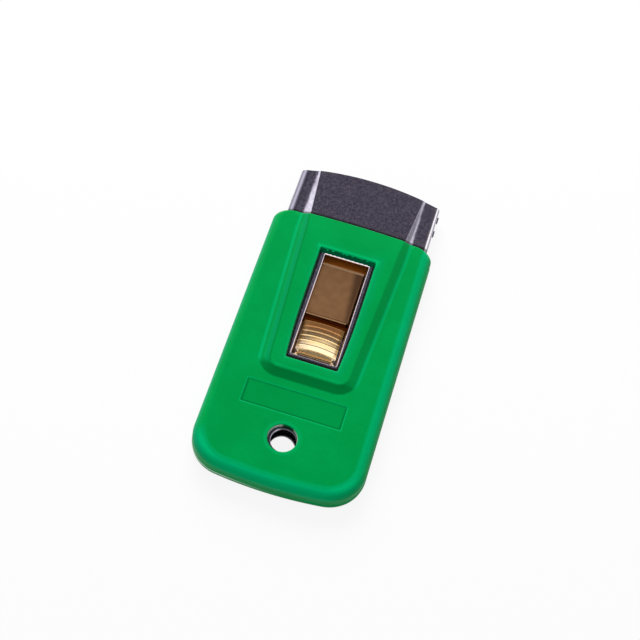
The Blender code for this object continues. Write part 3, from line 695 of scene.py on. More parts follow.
def moulded_green():
    """Soft moulded plastic: faint mottling, fine grain, painted highlights along its lips and rims, painted
    shade in its corners and on its slopes.
    """
    green = Recipe("moulded_green")
    spot, (x, y, z) = green.place()
    broad = green.noise(spot, 90.0, 2.0)
    fine = green.noise(spot, 900.0, 3.0)
    grain = green.noise(spot, 5200.0, 2.0)
    green.colour = green.mix(broad.ramp(0.3, 0.7), (0.0, 0.332, 0.062), (0.0, 0.365, 0.073))
    green.paint(fine.ramp(0.45, 0.75) * 0.30, (0.0, 0.300, 0.050))

    # Rim: painted highlight bands along the right side and the rear, painted shade outside them, and a
    # painted highlight on the left rim
    depth = rim_depth(x, y)
    lit_sides = x.ramp(-0.002, 0.016).above(y.ramp(-0.0400, -0.0460) * 0.8)
    rim_highlight = band(depth, 0.0016, 0.0028, 0.0011) * z.ramp(0.0050, 0.0060)
    green.paint(rim_highlight * lit_sides * (0.45 + broad * 0.5), (0.0, 0.46, 0.165))
    rounded = band(depth, 0.0002, 0.0019, 0.0008) * y.ramp(-0.0420, -0.0480) * z.ramp(0.0040, 0.0052)
    green.paint(rounded * 0.75, (0.0, 0.56, 0.20))
    green.paint(depth.ramp(0.0010, 0.0002) * lit_sides * 0.35, (0.0, 0.26, 0.080))
    sheen = depth.ramp(0.0014, 0.0004) * x.ramp(-0.018, -0.022) * z.ramp(0.0042, 0.0054)
    green.paint(sheen * 0.55, (0.0, 0.42, 0.20))

    # Raised panel: painted shade on the slopes at the rear and right, a painted highlight on the left slope,
    # painted shade lines along its top edge and foot on the left, and painted highlight lines along the feet
    # and the rear lip
    upper = z.ramp(PIT_Z - 0.0001, PIT_Z + 0.0001)
    top, foot = panel_gap(x - FRAME_MIDDLE, y, FRAME_SLOPE)
    slope = top.ramp(-0.0001, 0.0005) * foot.ramp(0.0002, -0.0004) * upper
    rear = y.ramp(PANEL_REAR_Y + 0.0020, PANEL_REAR_Y)
    right, left = x.ramp(0.004, 0.009), x.ramp(-0.004, -0.009)
    sides = (right + left) * (1 - rear) * upper
    green.paint(slope * (rear * 0.62).above(right * 0.30), (0.0, 0.125, 0.012))
    green.paint(slope * left * (1 - rear) * top.ramp(0.0020, 0.0006) * 0.7, (0.0, 0.30, 0.105))
    green.paint(band(top, -0.0002, 0.0002, 0.0002) * left * sides * 0.55, (0.0, 0.21, 0.030))
    green.paint(band(foot, -0.0010, -0.0006, 0.0003) * left * sides * 0.35, (0.0, 0.22, 0.040))
    green.paint(band(foot, -0.0004, 0.0002, 0.0003) * sides * (0.35 + broad * 0.3), (0.0, 0.50, 0.17))
    green.paint(band(top, -0.0010, -0.0004, 0.0003) * rear * upper * 0.45, (0.0, 0.46, 0.13))

    # Name plate recess: its floor a little darker, painted shade at the foot of its walls, and a painted
    # highlight along its lip
    plate = rect_gap(x, y, PLATE)
    plate_front = PLATE[1] + PLATE[3]
    below = y.ramp(plate_front - 0.0004, plate_front - 0.0008)
    green.paint(plate.ramp(0.0, -0.0001) * upper * 0.30, (0.0, 0.24, 0.040))
    green.paint(band(plate, -0.00050, -0.00012, 0.00014) * upper * (0.12 + below * 0.50), (0.0, 0.15, 0.03))
    green.paint(band(plate, 0.00004, 0.00022, 0.00014) * upper * (0.35 + fine * 0.4), (0.0, 0.52, 0.16))

    # Window: painted highlight on the frame round it and on its lip, broadest in front, and painted shade on
    # the rough wall under the lip, with painted highlights on the torn bits along its front
    window = sleeve_window_gap(x, y)
    front = y.ramp(0.0222, 0.0238)
    rim = band(window, 0.00012, 0.00055, 0.00025) * upper
    green.paint(window.ramp(0.0034, 0.0002) * upper * (0.20 + right * 0.35), (0.0, 0.38, 0.125))
    green.paint(rim * (0.10 + broad * 0.35 + front * 0.45), (0.0, 0.56, 0.17))
    green.paint(band(window, 0.0001, 0.0010, 0.0004) * front * upper * 0.55, (0.0, 0.50, 0.14))
    torn_highlight = (z + (fine - 0.5) * 0.0020).ramp(0.00762, 0.00774) * front
    wall = window.ramp(0.00012, 0.00002) * window.ramp(-0.002, -0.001)
    green.paint(wall * (0.75 - torn_highlight * 0.75), (0.0, 0.030, 0.016))
    green.paint(wall * torn_highlight, (0.0, 0.85, 0.27))

    # Hanging hole: painted highlight round its lip, painted shade in its bore, and a painted highlight on the
    # far wall
    reach = hole_gap(x, y, SLEEVE_HOLE)
    across, along = x - SLEEVE_HOLE[0], y - SLEEVE_HOLE[1]
    green.paint(band(reach, 0.00020, 0.00090, 0.0005) * upper * 0.35, (0.0, 0.50, 0.15))
    bore = reach.ramp(0.00016, 0.00004) * z.ramp(0.0035, 0.0045)
    green.paint(bore * 0.80, (0.0, 0.045, 0.018))
    lit = across.ramp(-0.0006, -0.0016).above(across.ramp(0.0018, 0.0028) * 0.7)
    green.paint(bore * (lit * along.ramp(-0.0012, 0.0004)), (0.85, 1.0, 0.90))

    # Parting line round the rear, with a painted highlight on it at the left
    line = band(z, PARTING_Z - 0.00008, PARTING_Z + 0.00016, 0.00008)
    left_rear_highlight = x.ramp(0.006, -0.016) * y.ramp(-0.030, -0.040)
    green.paint(line * left_rear_highlight * 0.95, (0.75, 0.95, 0.80))
    rough = 0.36 + broad * 0.08 + fine * 0.08
    wave = green.bump(broad, 0.00010, 0.35)
    grained = green.bump(grain * 0.6 + fine * 0.4, 0.000012, 0.5, wave)
    tint = (0.0, 0.9, 1.0)
    return green.surface(Roughness=rough, Normal=grained, Specular_Tint=tint, Specular_IOR_Level=0.18)


def pressed_steel():
    """Plated sheet steel: brushed lengthwise, mottled, with scuffs, painted highlights and painted shade on
    its slope, bends and edges, and painted shadow by the sleeve.
    """
    steel = Recipe("pressed_steel")
    spot, (x, y, z) = steel.place()
    cloud = steel.noise(spot, 1100.0, 4.0, 0.65)
    brushed = steel.streaks(spot, (5200.0, 420.0, 5200.0), 3.0, 0.6)
    scuffs = steel.streaks(spot, (900.0, 2600.0, 900.0), 4.0, 0.7)
    speckle = steel.noise(spot, 4200.0, 3.0, 0.6)
    steel.colour = steel.mix(cloud.ramp(0.35, 0.65), (0.57, 0.53, 0.65), (0.75, 0.72, 0.82))
    steel.paint(brushed.ramp(0.35, 0.75) * 0.30, (0.57, 0.53, 0.66))
    steel.paint(speckle.ramp(0.55, 0.40) * 0.15, (0.45, 0.41, 0.54))
    steel.paint(scuffs.ramp(0.60, 0.78) * 0.15, (0.80, 0.77, 0.85))

    # Painted shade in the right slope's hollow and on the left bend, and a painted highlight with a painted
    # dark line beyond it on the right bend
    top, foot = panel_gap(x - CASE_MIDDLE, y, STEEL_SLOPE)
    hollow = band(top, 0.0003, 0.0011, 0.0004) * foot.ramp(-0.0002, -0.0010) * x.ramp(0.004, 0.008)
    steel.paint(hollow * (0.65 + brushed * 0.3), (0.13, 0.12, 0.15))
    steel.paint(x.ramp(-0.0182, -0.0190) * 0.8, (0.36, 0.34, 0.43))
    bend_highlight_and_shade = steel.mix(x.ramp(0.02145, 0.0217), (1.0, 0.96, 1.0), (0.38, 0.35, 0.43))
    steel.paint(x.ramp(0.0206, 0.0209), bend_highlight_and_shade)

    # Painted shadow where the steel leaves the sleeve's front
    sag = SLEEVE_FRONT_BOW / (SLEEVE_HALF - SLEEVE_FRONT_CORNER) ** 2
    ahead = y - SLEEVE_FRONT_Y + x * x * sag
    steel.paint(ahead.ramp(0.0018, 0.0011) * ahead.ramp(-0.002, -0.001) * 0.75, (0.03, 0.04, 0.04))

    # Painted highlight on the edge of the steel's window, and painted shadow of the sleeve's wall between it
    # and the sleeve's window
    edge = band(rect_gap(x, y, STEEL_WINDOW), -0.0001, STEEL_LIP * 0.8, 0.0001)
    steel.paint(edge * y.ramp(-0.0128, -0.0122), (0.98, 0.90, 0.98))
    shut = sleeve_window_gap(x, y)
    window_rear = SLEEVE_WINDOW[1] - SLEEVE_WINDOW[3]
    behind = y.ramp(window_rear + 0.0019, window_rear + 0.0011)
    wall_shadow = shut.ramp(-0.00085, -0.00045).above(behind) * shut.ramp(0.0030, 0.0010) * z.ramp(0.0050, 0.0056)
    steel.paint(wall_shadow * (0.80 + speckle * 0.2), (0.02, 0.04, 0.035))

    # Hole: painted shade round its edge, left off on the left of its wall
    reach = hole_gap(x, y, STEEL_HOLE)
    kept = reach.ramp(0.00022, 0.00010) * x.ramp(-0.0014, -0.0026) * z.ramp(0.0040, 0.0045)
    steel.paint(reach.ramp(0.0013, 0.0009) * (1 - kept) * 0.85, (0.03, 0.035, 0.04))
    rough = 0.14 + cloud * 0.10 + brushed * 0.07 + speckle.ramp(0.45, 0.65) * 0.02
    wave = steel.bump(cloud, 0.0000065, 0.4)
    return steel.surface(Roughness=rough, Metallic=1.0, Normal=steel.bump(brushed, 0.0000035, 0.6, wave))


def brass(name, dull, warm, pale):
    """Brass strip with lengthwise drawing lines and a faint tarnish; gives the recipe and its place."""
    made = Recipe(name)
    spot, place = made.place()
    cloud = made.noise(spot, 420.0, 3.0, 0.6)
    brushed = made.streaks(spot, (5200.0, 170.0, 5200.0), 3.0, 0.6)
    made.colour = made.mix(cloud.ramp(0.3, 0.7), warm, pale)
    made.paint(brushed.ramp(0.40, 0.75) * 0.35, (0.55, 0.32, 0.13))
    rough = dull + cloud * 0.06 + brushed * 0.08
    made.surface(Roughness=rough, Metallic=1.0, Normal=made.bump(brushed, 0.000003, 0.7))
    return made, place


def tarnish_and_painted_light_brass():
    """Brass that lies inside: painted shade along the platform's right side and its rear end, a painted
    highlight on its front end, and painted shade on the low brass round it, with a painted copper-red
    reflection ahead of it.
    """
    made, (x, y, z) = brass("tarnish_and_painted_light_brass", 0.28, (0.66, 0.335, 0.145), (0.72, 0.385, 0.175))
    raised_part = z.ramp(0.0042, 0.0046)
    # Painted shade along the platform's right side
    shaded = (x + (y - PLATFORM[0]) * 0.09).ramp(0.0044, 0.0066) * raised_part
    made.paint(shaded * 0.85, (0.20, 0.10, 0.05))
    # Painted highlight on the platform's front end, painted shade on its rear end
    made.paint(band(y, PLATFORM[1] - 0.0007, PLATFORM[1], 0.0001) * raised_part * 0.9, (1.0, 0.64, 0.33))
    made.paint(y.ramp(PLATFORM[0] + 0.0005, PLATFORM[0] + 0.0002) * raised_part * 0.8, (0.22, 0.12, 0.06))
    # Low brass round the platform: painted shade, and a painted copper-red reflection ahead of the platform
    sunk = y.ramp(BRIDGE_REAR_Y - 0.0002, BRIDGE_REAR_Y) * z.ramp(0.0042, 0.0038) * y.ramp(0.0275, 0.0250)
    ahead = y.ramp(PLATFORM[1] - 0.0010, PLATFORM[1])
    made.paint(sunk, made.mix(ahead, (0.13, 0.036, 0.004), (0.85, 0.25, 0.03)))
    return made.surface(Metallic=1 - sunk * ahead * 0.5)


def pad_brass_with_painted_light():
    """Brass with a painted highlight at the pad's rear, painted shade, browner, at its front and at its
    sides, and painted shade with a painted glint in the groove where the pad starts.
    """
    made, (x, y, z) = brass("pad_brass_with_painted_light", 0.15, (1.0, 0.70, 0.31), (1.0, 0.78, 0.41))
    fore = y.ramp(-0.0060, -0.0012)
    # Painted shade, browner, at the pad's front
    made.paint(fore * 0.80, (0.48, 0.16, 0.03))
    # Painted highlight at the pad's rear
    made.paint(y.ramp(-0.0060, -0.0085) * 0.8, (1.0, 0.80, 0.52))
    out = (x - CASE_MIDDLE).size()
    # Painted shade along the pad's sides near its rear
    made.paint(out.ramp(0.0047, 0.0054) * y.ramp(-0.0096, -0.0084) * 0.75, (0.40, 0.23, 0.07))
    strip_face = y.ramp(PAD_REAR_Y, PAD_REAR_Y - 0.0002) * z.ramp(0.0046, 0.0043)
    made.paint(strip_face * 0.6, (0.66, 0.42, 0.17))
    # Painted shade in the groove where the pad starts, with a painted glint line
    groove = band(y, PAD_REAR_Y - 0.0003, PAD_REAR_Y + 0.0006, 0.0003) * out.ramp(0.0050, 0.0046)
    glint = band(y, PAD_REAR_Y + 0.00028, PAD_REAR_Y + 0.00042, 0.00012)
    made.paint(groove, made.mix(glint, (0.85, 0.48, 0.15), (1.0, 0.92, 0.62)))
    return made.surface(Roughness=0.18 + fore * 0.17 + groove * 0.15, Metallic=1 - groove * 0.8)


def razor_steel():
    """Ground blade steel: fine grinding marks, a bright bevel at the cutting edge."""
    razor = Recipe("razor_steel")
    spot, (x, y, z) = razor.place()
    ground = razor.streaks(spot, (9000.0, 400.0, 9000.0), 3.0, 0.6)
    cloud = razor.noise(spot, 300.0, 3.0)
    razor.colour = razor.mix(y.ramp(0.0367, 0.0371), (0.55, 0.56, 0.60), (0.80, 0.81, 0.84))
    razor.paint(cloud.ramp(0.55, 0.8) * 0.3, (0.45, 0.45, 0.50))
    marks = razor.bump(ground, 0.000003, 0.6)
    return razor.surface(Roughness=0.16 + ground * 0.12, Metallic=1.0, Normal=marks)


green_look = moulded_green()
steel_look = pressed_steel()
brass_look = tarnish_and_painted_light_brass()
pad_brass_look = pad_brass_with_painted_light()
razor_look = razor_steel()


# Grip sleeve
def narrowing(y):
    """How much of its full width the window has left at a place along Y."""
    middle_x, middle_y, half_x, half_y = SLEEVE_WINDOW
    return 1 - WINDOW_NARROWS * np.clip((middle_y + half_y - y) / (2 * half_y), 0, 1) ** 4


def window_loop(grow):
    middle_x = SLEEVE_WINDOW[0]
    loop = round_rect(*SLEEVE_WINDOW, WINDOW_CORNER, grow)
    return [(middle_x + (x - middle_x) * float(narrowing(y)), y) for x, y in loop]


def window_distance(x, y):
    middle_x = SLEEVE_WINDOW[0]
    return rect_distance(middle_x + (x - middle_x) / narrowing(y), y, *SLEEVE_WINDOW, WINDOW_CORNER)


def front_fade(x):
    """How much of the front lip there is, none of it at the front corners."""
    reach = SLEEVE_HALF - SLEEVE_TOP_ROUND - SLEEVE_FRONT_CORNER
    return np.clip((reach - np.abs(x)) / FRONT_LIP_FADE, 0, 1)


def sleeve_top(x, y, front):
    """Height of the sleeve's upper face."""
    z = SLEEVE_TOP_Z + panel_height(x - FRAME_MIDDLE, y, FRAME_SLOPE, FRAME_SOFT, FRAME_HOLLOW)
    z = z - lip_drop(window_distance(x, y), SLEEVE_LIP)
    z = z - lip_drop(hole_distance(x, y, SLEEVE_HOLE), HOLE_LIP)
    sunk = np.clip(0.5 - rect_distance(x, y, *PLATE, 0.0) / (2 * PLATE_WALL), 0, 1)
    z = z - PLATE_DEPTH * sunk * sunk * (3 - 2 * sunk)
    return z - lip_drop(front(x) - y, FRONT_LIP * front_fade(x))


def sleeve_profile():
    """The wall and its parting ridge, from the underside to the rounded top edge, as distances in and up."""
    side_top = SLEEVE_TOP_Z - SLEEVE_TOP_ROUND
    rounded = quarter(SLEEVE_UNDER_ROUND, BEND_STEPS)[::-1]
    under = [(inset, SLEEVE_UNDER_ROUND - rise) for inset, rise in rounded]
    upper = [(inset, side_top + rise) for inset, rise in quarter(SLEEVE_TOP_ROUND, 14)[:-1]]
    under, upper = ([(max(inset, PARTING_RIDGE), level) for inset, level in part] for part in (under, upper))
    ridge = [(PARTING_RIDGE, PARTING_Z - PARTING_HALF), (0.0, PARTING_Z)]
    ridge.append((PARTING_RIDGE, PARTING_Z + PARTING_HALF))
    return under + ridge + upper


def make_sleeve():
    front = bowed(SLEEVE_FRONT_Y, SLEEVE_FRONT_BOW, SLEEVE_HALF - SLEEVE_FRONT_CORNER)
    shape = Plate(0.0, SLEEVE_HALF, REAR_Y, SLEEVE_REAR_CORNER, SLEEVE_REAR_BOW, SLEEVE_FRONT_CORNER, front)
    even = spread(1, -1, FRONT_STEPS)
    outline = plan_outline(shape, SLEEVE_TOP_ROUND, even)
    window = window_loop(0.0)
    hole = circle(*SLEEVE_HOLE, 72)
    lips = hole_lips(SLEEVE_HOLE, HOLE_LIP, 72)
    loops = [window_loop(grow) for grow in lip_steps(SLEEVE_LIP)] + lips
    loops += [round_rect(*PLATE, 0.0, share * PLATE_WALL, 0.001) for share in PLATE_LOOP_SHARES]
    lines = [clipped(line, front) for line in panel_rows(FRAME_MIDDLE, FRAME_SLOPE, FRAME_SOFT)]
    lines += ramp_rows(0.0, FRAME_LINE_HALF)
    reach = outline[CORNER_STEPS][0]
    for place in lip_steps(FRONT_LIP):
        xs = [reach * share for share in even]
        lines.append([(x, float(front(x) - place * front_fade(x))) for x in xs])
    plan, faces = plan_mesh(outline, [window, hole], loops, lines)
    points = raised(plan, sleeve_top(plan[:, 0], plan[:, 1], front))

    # The upper face's own rim, from the right front corner on, sets the columns of the walls below it
    rim = boundary_loop(faces, nearest(plan, outline[0]))
    front_end = rim.index(nearest(plan, outline[CORNER_STEPS + FRONT_STEPS]))
    front_at = range(CORNER_STEPS, front_end + 1)
    shares = [points[rim[at]][0] / reach for at in front_at]
    edge_rise = [points[rim[at]][2] / SLEEVE_TOP_Z for at in front_at]
    rings = []
    for inset, level in sleeve_profile():
        ring = [[x, y, level] for x, y in plan_outline(shape, inset, shares)]
        for at, rise in zip(front_at, edge_rise):
            ring[at][2] = level * rise
        rings.append(ring)
    numbers = rows_from(len(points), len(rim), len(rings))
    points += [p for ring in rings for p in ring]
    faces += skin([*numbers, rim])

    # Underside with the hole's lower lip
    under, under_faces = plan_mesh([(x, y) for x, y, z in rings[0]], [hole], lips, [])
    base = len(points)
    points += raised(under, lip_drop(hole_distance(under[:, 0], under[:, 1], SLEEVE_HOLE), HOLE_LIP))
    faces += [[base + i for i in face] for face in under_faces]

    # Walls of the hole and the window; the window's goes down into the room for the case
    for loop, low in ((hole, HOLE_LIP), (window, PIT_Z)):
        upper, lower = rows_from(len(points), len(loop), 2)
        x, y = np.array(loop).T
        points += raised(loop, sleeve_top(x, y, front)) + raised(loop, low)
        faces += strip(upper, lower)
    faces.append(list(lower))
    sleeve = add_piece("sleeve_shell", points, faces)
    carve(sleeve, make_cavity())
    join(sleeve, make_flash(front))
    return dress(sleeve, green_look, 40)


def make_flash(front):
    """The rough lower part of the window's wall, thickest in front, where the moulding ran out."""
    middle_x, middle_y, half_x, half_y = SLEEVE_WINDOW
    loop = np.array(window_loop(FLASH_BITE))
    x, y = loop[:, 0], loop[:, 1]
    lip = sleeve_top(x, y, front)
    steel = steel_level(x, y)
    wobble = sum(share * np.sin(x * along_x + y * along_y) for along_x, along_y, share in RAGGED_WAVES)
    at_front = np.clip((y - middle_y - half_y + FLASH_FADE) / FLASH_FADE, 0, 1)
    push = FLASH_SIDE + (FLASH_FRONT - FLASH_SIDE) * at_front + RAGGED * wobble
    levels = (lip - FLASH_SINK, lip * 0.55 + steel * 0.45, steel + FLASH_CLEAR, steel - FLASH_SINK)
    points = []
    for share, level in zip((0.0, 0.5, 1.0, 0.0), levels):
        inward_x = middle_x + (x - middle_x) * (1 - share * push / half_x)
        inward_y = middle_y + (y - middle_y) * (1 - share * push / half_y)
        points += raised(np.column_stack((inward_x, inward_y)), level)
    rows = rows_from(0, len(loop), 4)
    return add_piece("flash", points, skin(rows + rows[:1]))


def clipped(line, front):
    """The part of a line behind a front edge, ending on that edge."""
    kept = []
    for (x_a, y_a), (x_b, y_b) in zip(line, line[1:]):
        in_a, in_b = y_a <= front(x_a), y_b <= front(x_b)
        if in_a != in_b:
            low, high = 0.0, 1.0
            for _ in range(40):
                share = (low + high) / 2
                inside = y_a + (y_b - y_a) * share <= front(x_a + (x_b - x_a) * share)
                low, high = (share, high) if inside == in_a else (low, share)
            x = x_a + (x_b - x_a) * low
            crossing = (x, float(front(x)))
            kept += [crossing, (x_b, y_b)] if in_b else [crossing]
        elif in_b:
            kept += [(x_a, y_a), (x_b, y_b)]
    return kept[:1] + [b for a, b in zip(kept, kept[1:]) if math.dist(a, b) > 1e-6]


def make_cavity():
    """The room for the case inside the sleeve, open at the front."""
    gap, past = CAVITY_GAP, SLEEVE_FRONT_Y + CAVITY_PAST
    sizes = (CASE_HALF + gap, CASE_REAR_Y - gap, CASE_CORNER + gap, CASE_REAR_BOW + gap)
    outline = plan_outline(Plate(CASE_MIDDLE, *sizes, 0.0, lambda x: past), 0.0, spread(1, -1, 8))
    lines = []
    for line in panel_rows(CASE_MIDDLE, STEEL_SLOPE, STEEL_SOFT)[::2]:
        lines.append([(x, y) for x, y in line if y < past - CAVITY_LINE_STOP])
    plan, faces = plan_mesh(outline, [], [], lines)
    points = raised(plan, steel_level(plan[:, 0], plan[:, 1]) + (SLEEVE_ROOF_Z - CASE_TOP_Z))
    upper = boundary_loop(faces)
    lower = range(len(points), len(points) + len(upper))
    points += raised(plan[upper], SLEEVE_FLOOR_Z)
    return add_piece("cavity", points, faces + strip(upper, lower) + [list(lower)])


# Steel case
def make_case():
    front = bowed(NOSE_Y, NOSE_BOW, CASE_HALF)
    shape = Plate(CASE_MIDDLE, CASE_HALF, CASE_REAR_Y, CASE_CORNER, CASE_REAR_BOW, 0.0, front)
    even = spread(1, -1, FRONT_STEPS)

    def case_outline(inset):
        """The bend is wider on the left, where the sheet was folded more gently."""
        loop = plan_outline(shape, inset, even)
        wide = (LEFT_BEND_SHARE - 1) * inset / CASE_HALF
        return [(x - wide * min(x - CASE_MIDDLE, 0), y) for x, y in loop]

    outline = case_outline(CASE_BEND)
    opening = (*STEEL_WINDOW, STEEL_WINDOW_CORNER)
    window = round_rect(*opening, 0.0, 0.0006)
    hole = circle(*STEEL_HOLE, 64)
    loops = [round_rect(*opening, grow, 0.0006) for grow in lip_steps(STEEL_LIP, 3)]
    loops += hole_lips(STEEL_HOLE, STEEL_HOLE_LIP, 64, 3)
    lines = panel_rows(CASE_MIDDLE, STEEL_SLOPE, STEEL_SOFT) + ramp_rows(CASE_MIDDLE, STEEL_LINE_HALF)
    reach = CASE_HALF - CASE_BEND
    for place in lip_steps(NOSE_LIP, 3):
        xs = [reach * share for share in even[1:-1]]
        lines.append([(CASE_MIDDLE + x, float(front(x)) - place) for x in xs])
    plan, faces = plan_mesh(outline, [window, hole], loops, lines)
    x, y = plan.T
    base = steel_level(x, y)
    drop = lip_drop(rect_distance(x, y, *opening), STEEL_LIP)
    drop = drop + lip_drop(hole_distance(x, y, STEEL_HOLE), STEEL_HOLE_LIP)
    drop = drop + lip_drop(front(x - CASE_MIDDLE) - y, NOSE_LIP)
    outer = raised(plan, base - drop)
    inner = raised(plan, base - STEEL_SHEET)

    # Bend and side wall, open at the nose, in columns that match the upper face's outline
    columns = [*range(FRONT_STEPS, len(outline)), 0]
    start = CASE_TOP_Z - CASE_BEND
    bend = [(inset, start + rise) for inset, rise in quarter(CASE_BEND, BEND_STEPS)[-2::-1]]
    thin = quarter(CASE_BEND - STEEL_SHEET, BEND_STEPS)[-2::-1]
    thin = [(STEEL_SHEET + inset, start + rise) for inset, rise in thin]
    rows = [[nearest(plan, outline[i]) for i in columns]]
    rows += rows_from(len(outer), len(columns), BEND_STEPS + 1)
    for points, profile, wall in ((outer, bend, 0.0), (inner, thin, STEEL_SHEET)):
        for inset, level in [*profile, (wall, CASE_UNDER_Z)]:
            loop = case_outline(inset)
            points += [(*loop[i], level) for i in columns]
    for above, below in zip(rows, rows[1:]):
        faces += strip(below, above, closed=False)
    case = add_piece("case_shell", *thicken(outer, inner, faces))
    for side, place in TAB_PLACES:
        room = round_rect(CASE_MIDDLE + side * CASE_HALF, place, *TAB_ROOM, TAB_ROOM_CORNER, 0.0, 0.01)
        carve(case, prism(room, 0.0, TAB_ROOM_TOP_Z))
    return dress(case, steel_look, 35)


# Thumb tongue
def pad_rise(x, y):
    """Height of the pad's skin over the strip: a heel, set further back at its two feet, then a hump."""
    near, far = PAD_FOOT_X
    foot = np.clip((np.abs(x) - near) / (far - near), 0, 1)
    back = PAD_REAR_Y - PAD_FOOT_LENGTH * foot * foot * (3 - 2 * foot)
    start = PAD_REAR_Y + PAD_HEEL
    share = np.clip((y - start) / ((PAD_FRONT_Y - PAD_REAR_Y) * PAD_PEAK_SHARE - PAD_HEEL), 0, 1)
    top = PAD_HEEL_RISE + (PAD_TOP_RISE - PAD_HEEL_RISE) * np.sin(share * math.pi / 2)
    heel = np.clip((y - back) / PAD_HEEL, 0, 1)
    return top * heel * heel * (3 - 2 * heel)


def make_tongue():
    half = (tongue_high.x - tongue_low.x) / 2
    pad_start = PAD_REAR_Y - PAD_FOOT_LENGTH - PAD_FOOT_ROOM
    ys = spread(tongue_low.y, pad_start, 16)[:-1] + spread(pad_start, PAD_FRONT_Y, PAD_ROWS)
    width = TONGUE_COLUMNS + 1
    grid_y, grid_x = np.meshgrid(ys, np.linspace(-1, 1, width), indexing="ij")
    rise = pad_rise(half * grid_x, grid_y)
    up = np.clip(rise / PAD_HEEL_RISE, 0, 1)
    ribs = (PAD_FRONT_Y - grid_y) / RIB_PITCH
    phase = (ribs + 0.5 - RIB_PHASE) % 1
    tooth = np.exp(-np.square((phase - 0.5) / RIB_SHARPNESS))
    tooth = tooth * np.clip((RIB_COUNT - ribs) * 2, 0, 1)
    tooth = tooth * np.clip((1 - np.abs(grid_x)) * half / RIB_FADE, 0, 1)
    fade = up * np.clip(ribs, 0, 1) * np.clip((grid_y - PAD_REAR_Y) / PAD_HEEL, 0, 1)
    moved = grid_y - PAD_BULGE * grid_x**2 * fade
    lower = TONGUE_UNDER_Z + rise - PAD_CROWN * grid_x**2 * up
    upper = lower + TONGUE_SHEET + RIB_HEIGHT * tooth
    plan = np.column_stack(((CASE_MIDDLE + half * grid_x).ravel(), moved.ravel()))
    faces = skin(rows_from(0, width, len(ys)), closed=False)
    sheet = thicken(raised(plan, upper.ravel()), raised(plan, lower.ravel()), faces)
    tongue = add_piece("thumb_spring", *sheet)
    drill_rivets(tongue)
    return dress(tongue, pad_brass_look, 40)


# Brass carriage
def platform_side(flat_half, foot_half, drop):
    """One side of the raised platform's section: level, then rolling down to its foot."""
    level = PLATFORM_TOP_Z - drop
    foot = CARRIAGE_UNDER_Z
    side = []
    for a in spread(0.0, math.pi / 2, 12):
        x = flat_half + (foot_half - drop - flat_half) * math.sin(a) ** PLATFORM_ROLL
        side.append((x, foot + (level - foot) * max(math.cos(a), 0.0) ** PLATFORM_ROLL))
    return side


def make_carriage():
    middle = CASE_MIDDLE
    low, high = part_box("blade_carriage")
    half = high.x - middle
    top = CARRIAGE_UNDER_Z + BRASS_SHEET
    right = [(CARRIAGE_TAIL_HALF, low.y), (CARRIAGE_TAIL_HALF, CARRIAGE_WIDE_Y)]
    right += [(half, CARRIAGE_WIDE_Y), (half, high.y)]
    outline = [(middle + x, y) for x, y in right] + [(middle - x, y) for x, y in reversed(right)]
    plate = prism(outline, CARRIAGE_UNDER_Z, top, "carriage_plate")
    x = OPENING_HALF
    carve(plate, slab(middle - x, middle + x, OPENING_REAR_Y, PLATFORM[1], *CUT_LEVELS))

    # Platform with its rear end turned down, and the bridge strip below it
    sections = []
    for drop in (0.0, BRASS_SHEET):
        left = platform_side(*PLATFORM_LEFT, drop)
        sections.append([(-x, z) for x, z in reversed(left)] + platform_side(*PLATFORM_RIGHT, drop))
    section = sections[0] + sections[1][::-1]
    platform = drawn([[(middle + x, y, z) for x, z in section] for y in PLATFORM])
    skirt = [(PLATFORM[0] + y, PLATFORM_TOP_Z - z) for y, z in SKIRT]
    ends = (-PLATFORM_LEFT[0], PLATFORM_RIGHT[0])
    turned = drawn([[(middle + x, y, z) for y, z in skirt] for x in ends])
    x = OPENING_HALF + BRASS_SHEET
    bridge = slab(middle - x, middle + x, BRIDGE_REAR_Y, PLATFORM[0] + SHEET_GAP, CARRIAGE_UNDER_Z, top)
    for part in (platform, turned, bridge):
        carve(plate, part, "UNION")

    # Side rails, lips behind the blade's back and nibs in the blade's notches
    blade_low, blade_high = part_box("blade")
    back_low, back_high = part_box("blade_back")
    blade_half = (blade_high.x - blade_low.x) / 2
    nib_y = blade_low.y + NIB_FROM_BACK
    lip_y = back_low.y - SHEET_GAP
    spans = [
        (half - BRASS_SHEET, half, CARRIAGE_WIDE_Y, high.y),
        (blade_half - LIP_FAR, blade_half - LIP_NEAR, lip_y - BRASS_SHEET, lip_y),
        (blade_half - NIB_FAR, blade_half - NIB_NEAR, nib_y - NIB_HALF, nib_y + NIB_HALF),
    ]
    for near, far, low_y, high_y in spans:
        for side in (-1, 1):
            xs = sorted((middle + side * near, middle + side * far))
            carve(plate, slab(*xs, low_y, high_y, low.z, top - BRASS_SHEET / 2), "UNION")
    drill_rivets(plate)
    return ease_edges(plate, brass_look, BRASS_EASE)


# Case floor, which follows its solid
def make_floor():
    """A copy of the solid's mesh with its flat faces whole again and its edges rounded by a hair."""
    mesh = nodes["lower_case"].data.copy()
    mesh.name = "case_floor"
    work = bmesh.new()
    work.from_mesh(mesh)
    bmesh.ops.remove_doubles(work, verts=work.verts, dist=1e-6)
    bmesh.ops.dissolve_limit(work, angle_limit=math.radians(1.0), verts=work.verts, edges=work.edges)
    work.to_mesh(mesh)
    work.free()
    return ease_edges(put("case_floor", mesh), steel_look, FLOOR_EASE)


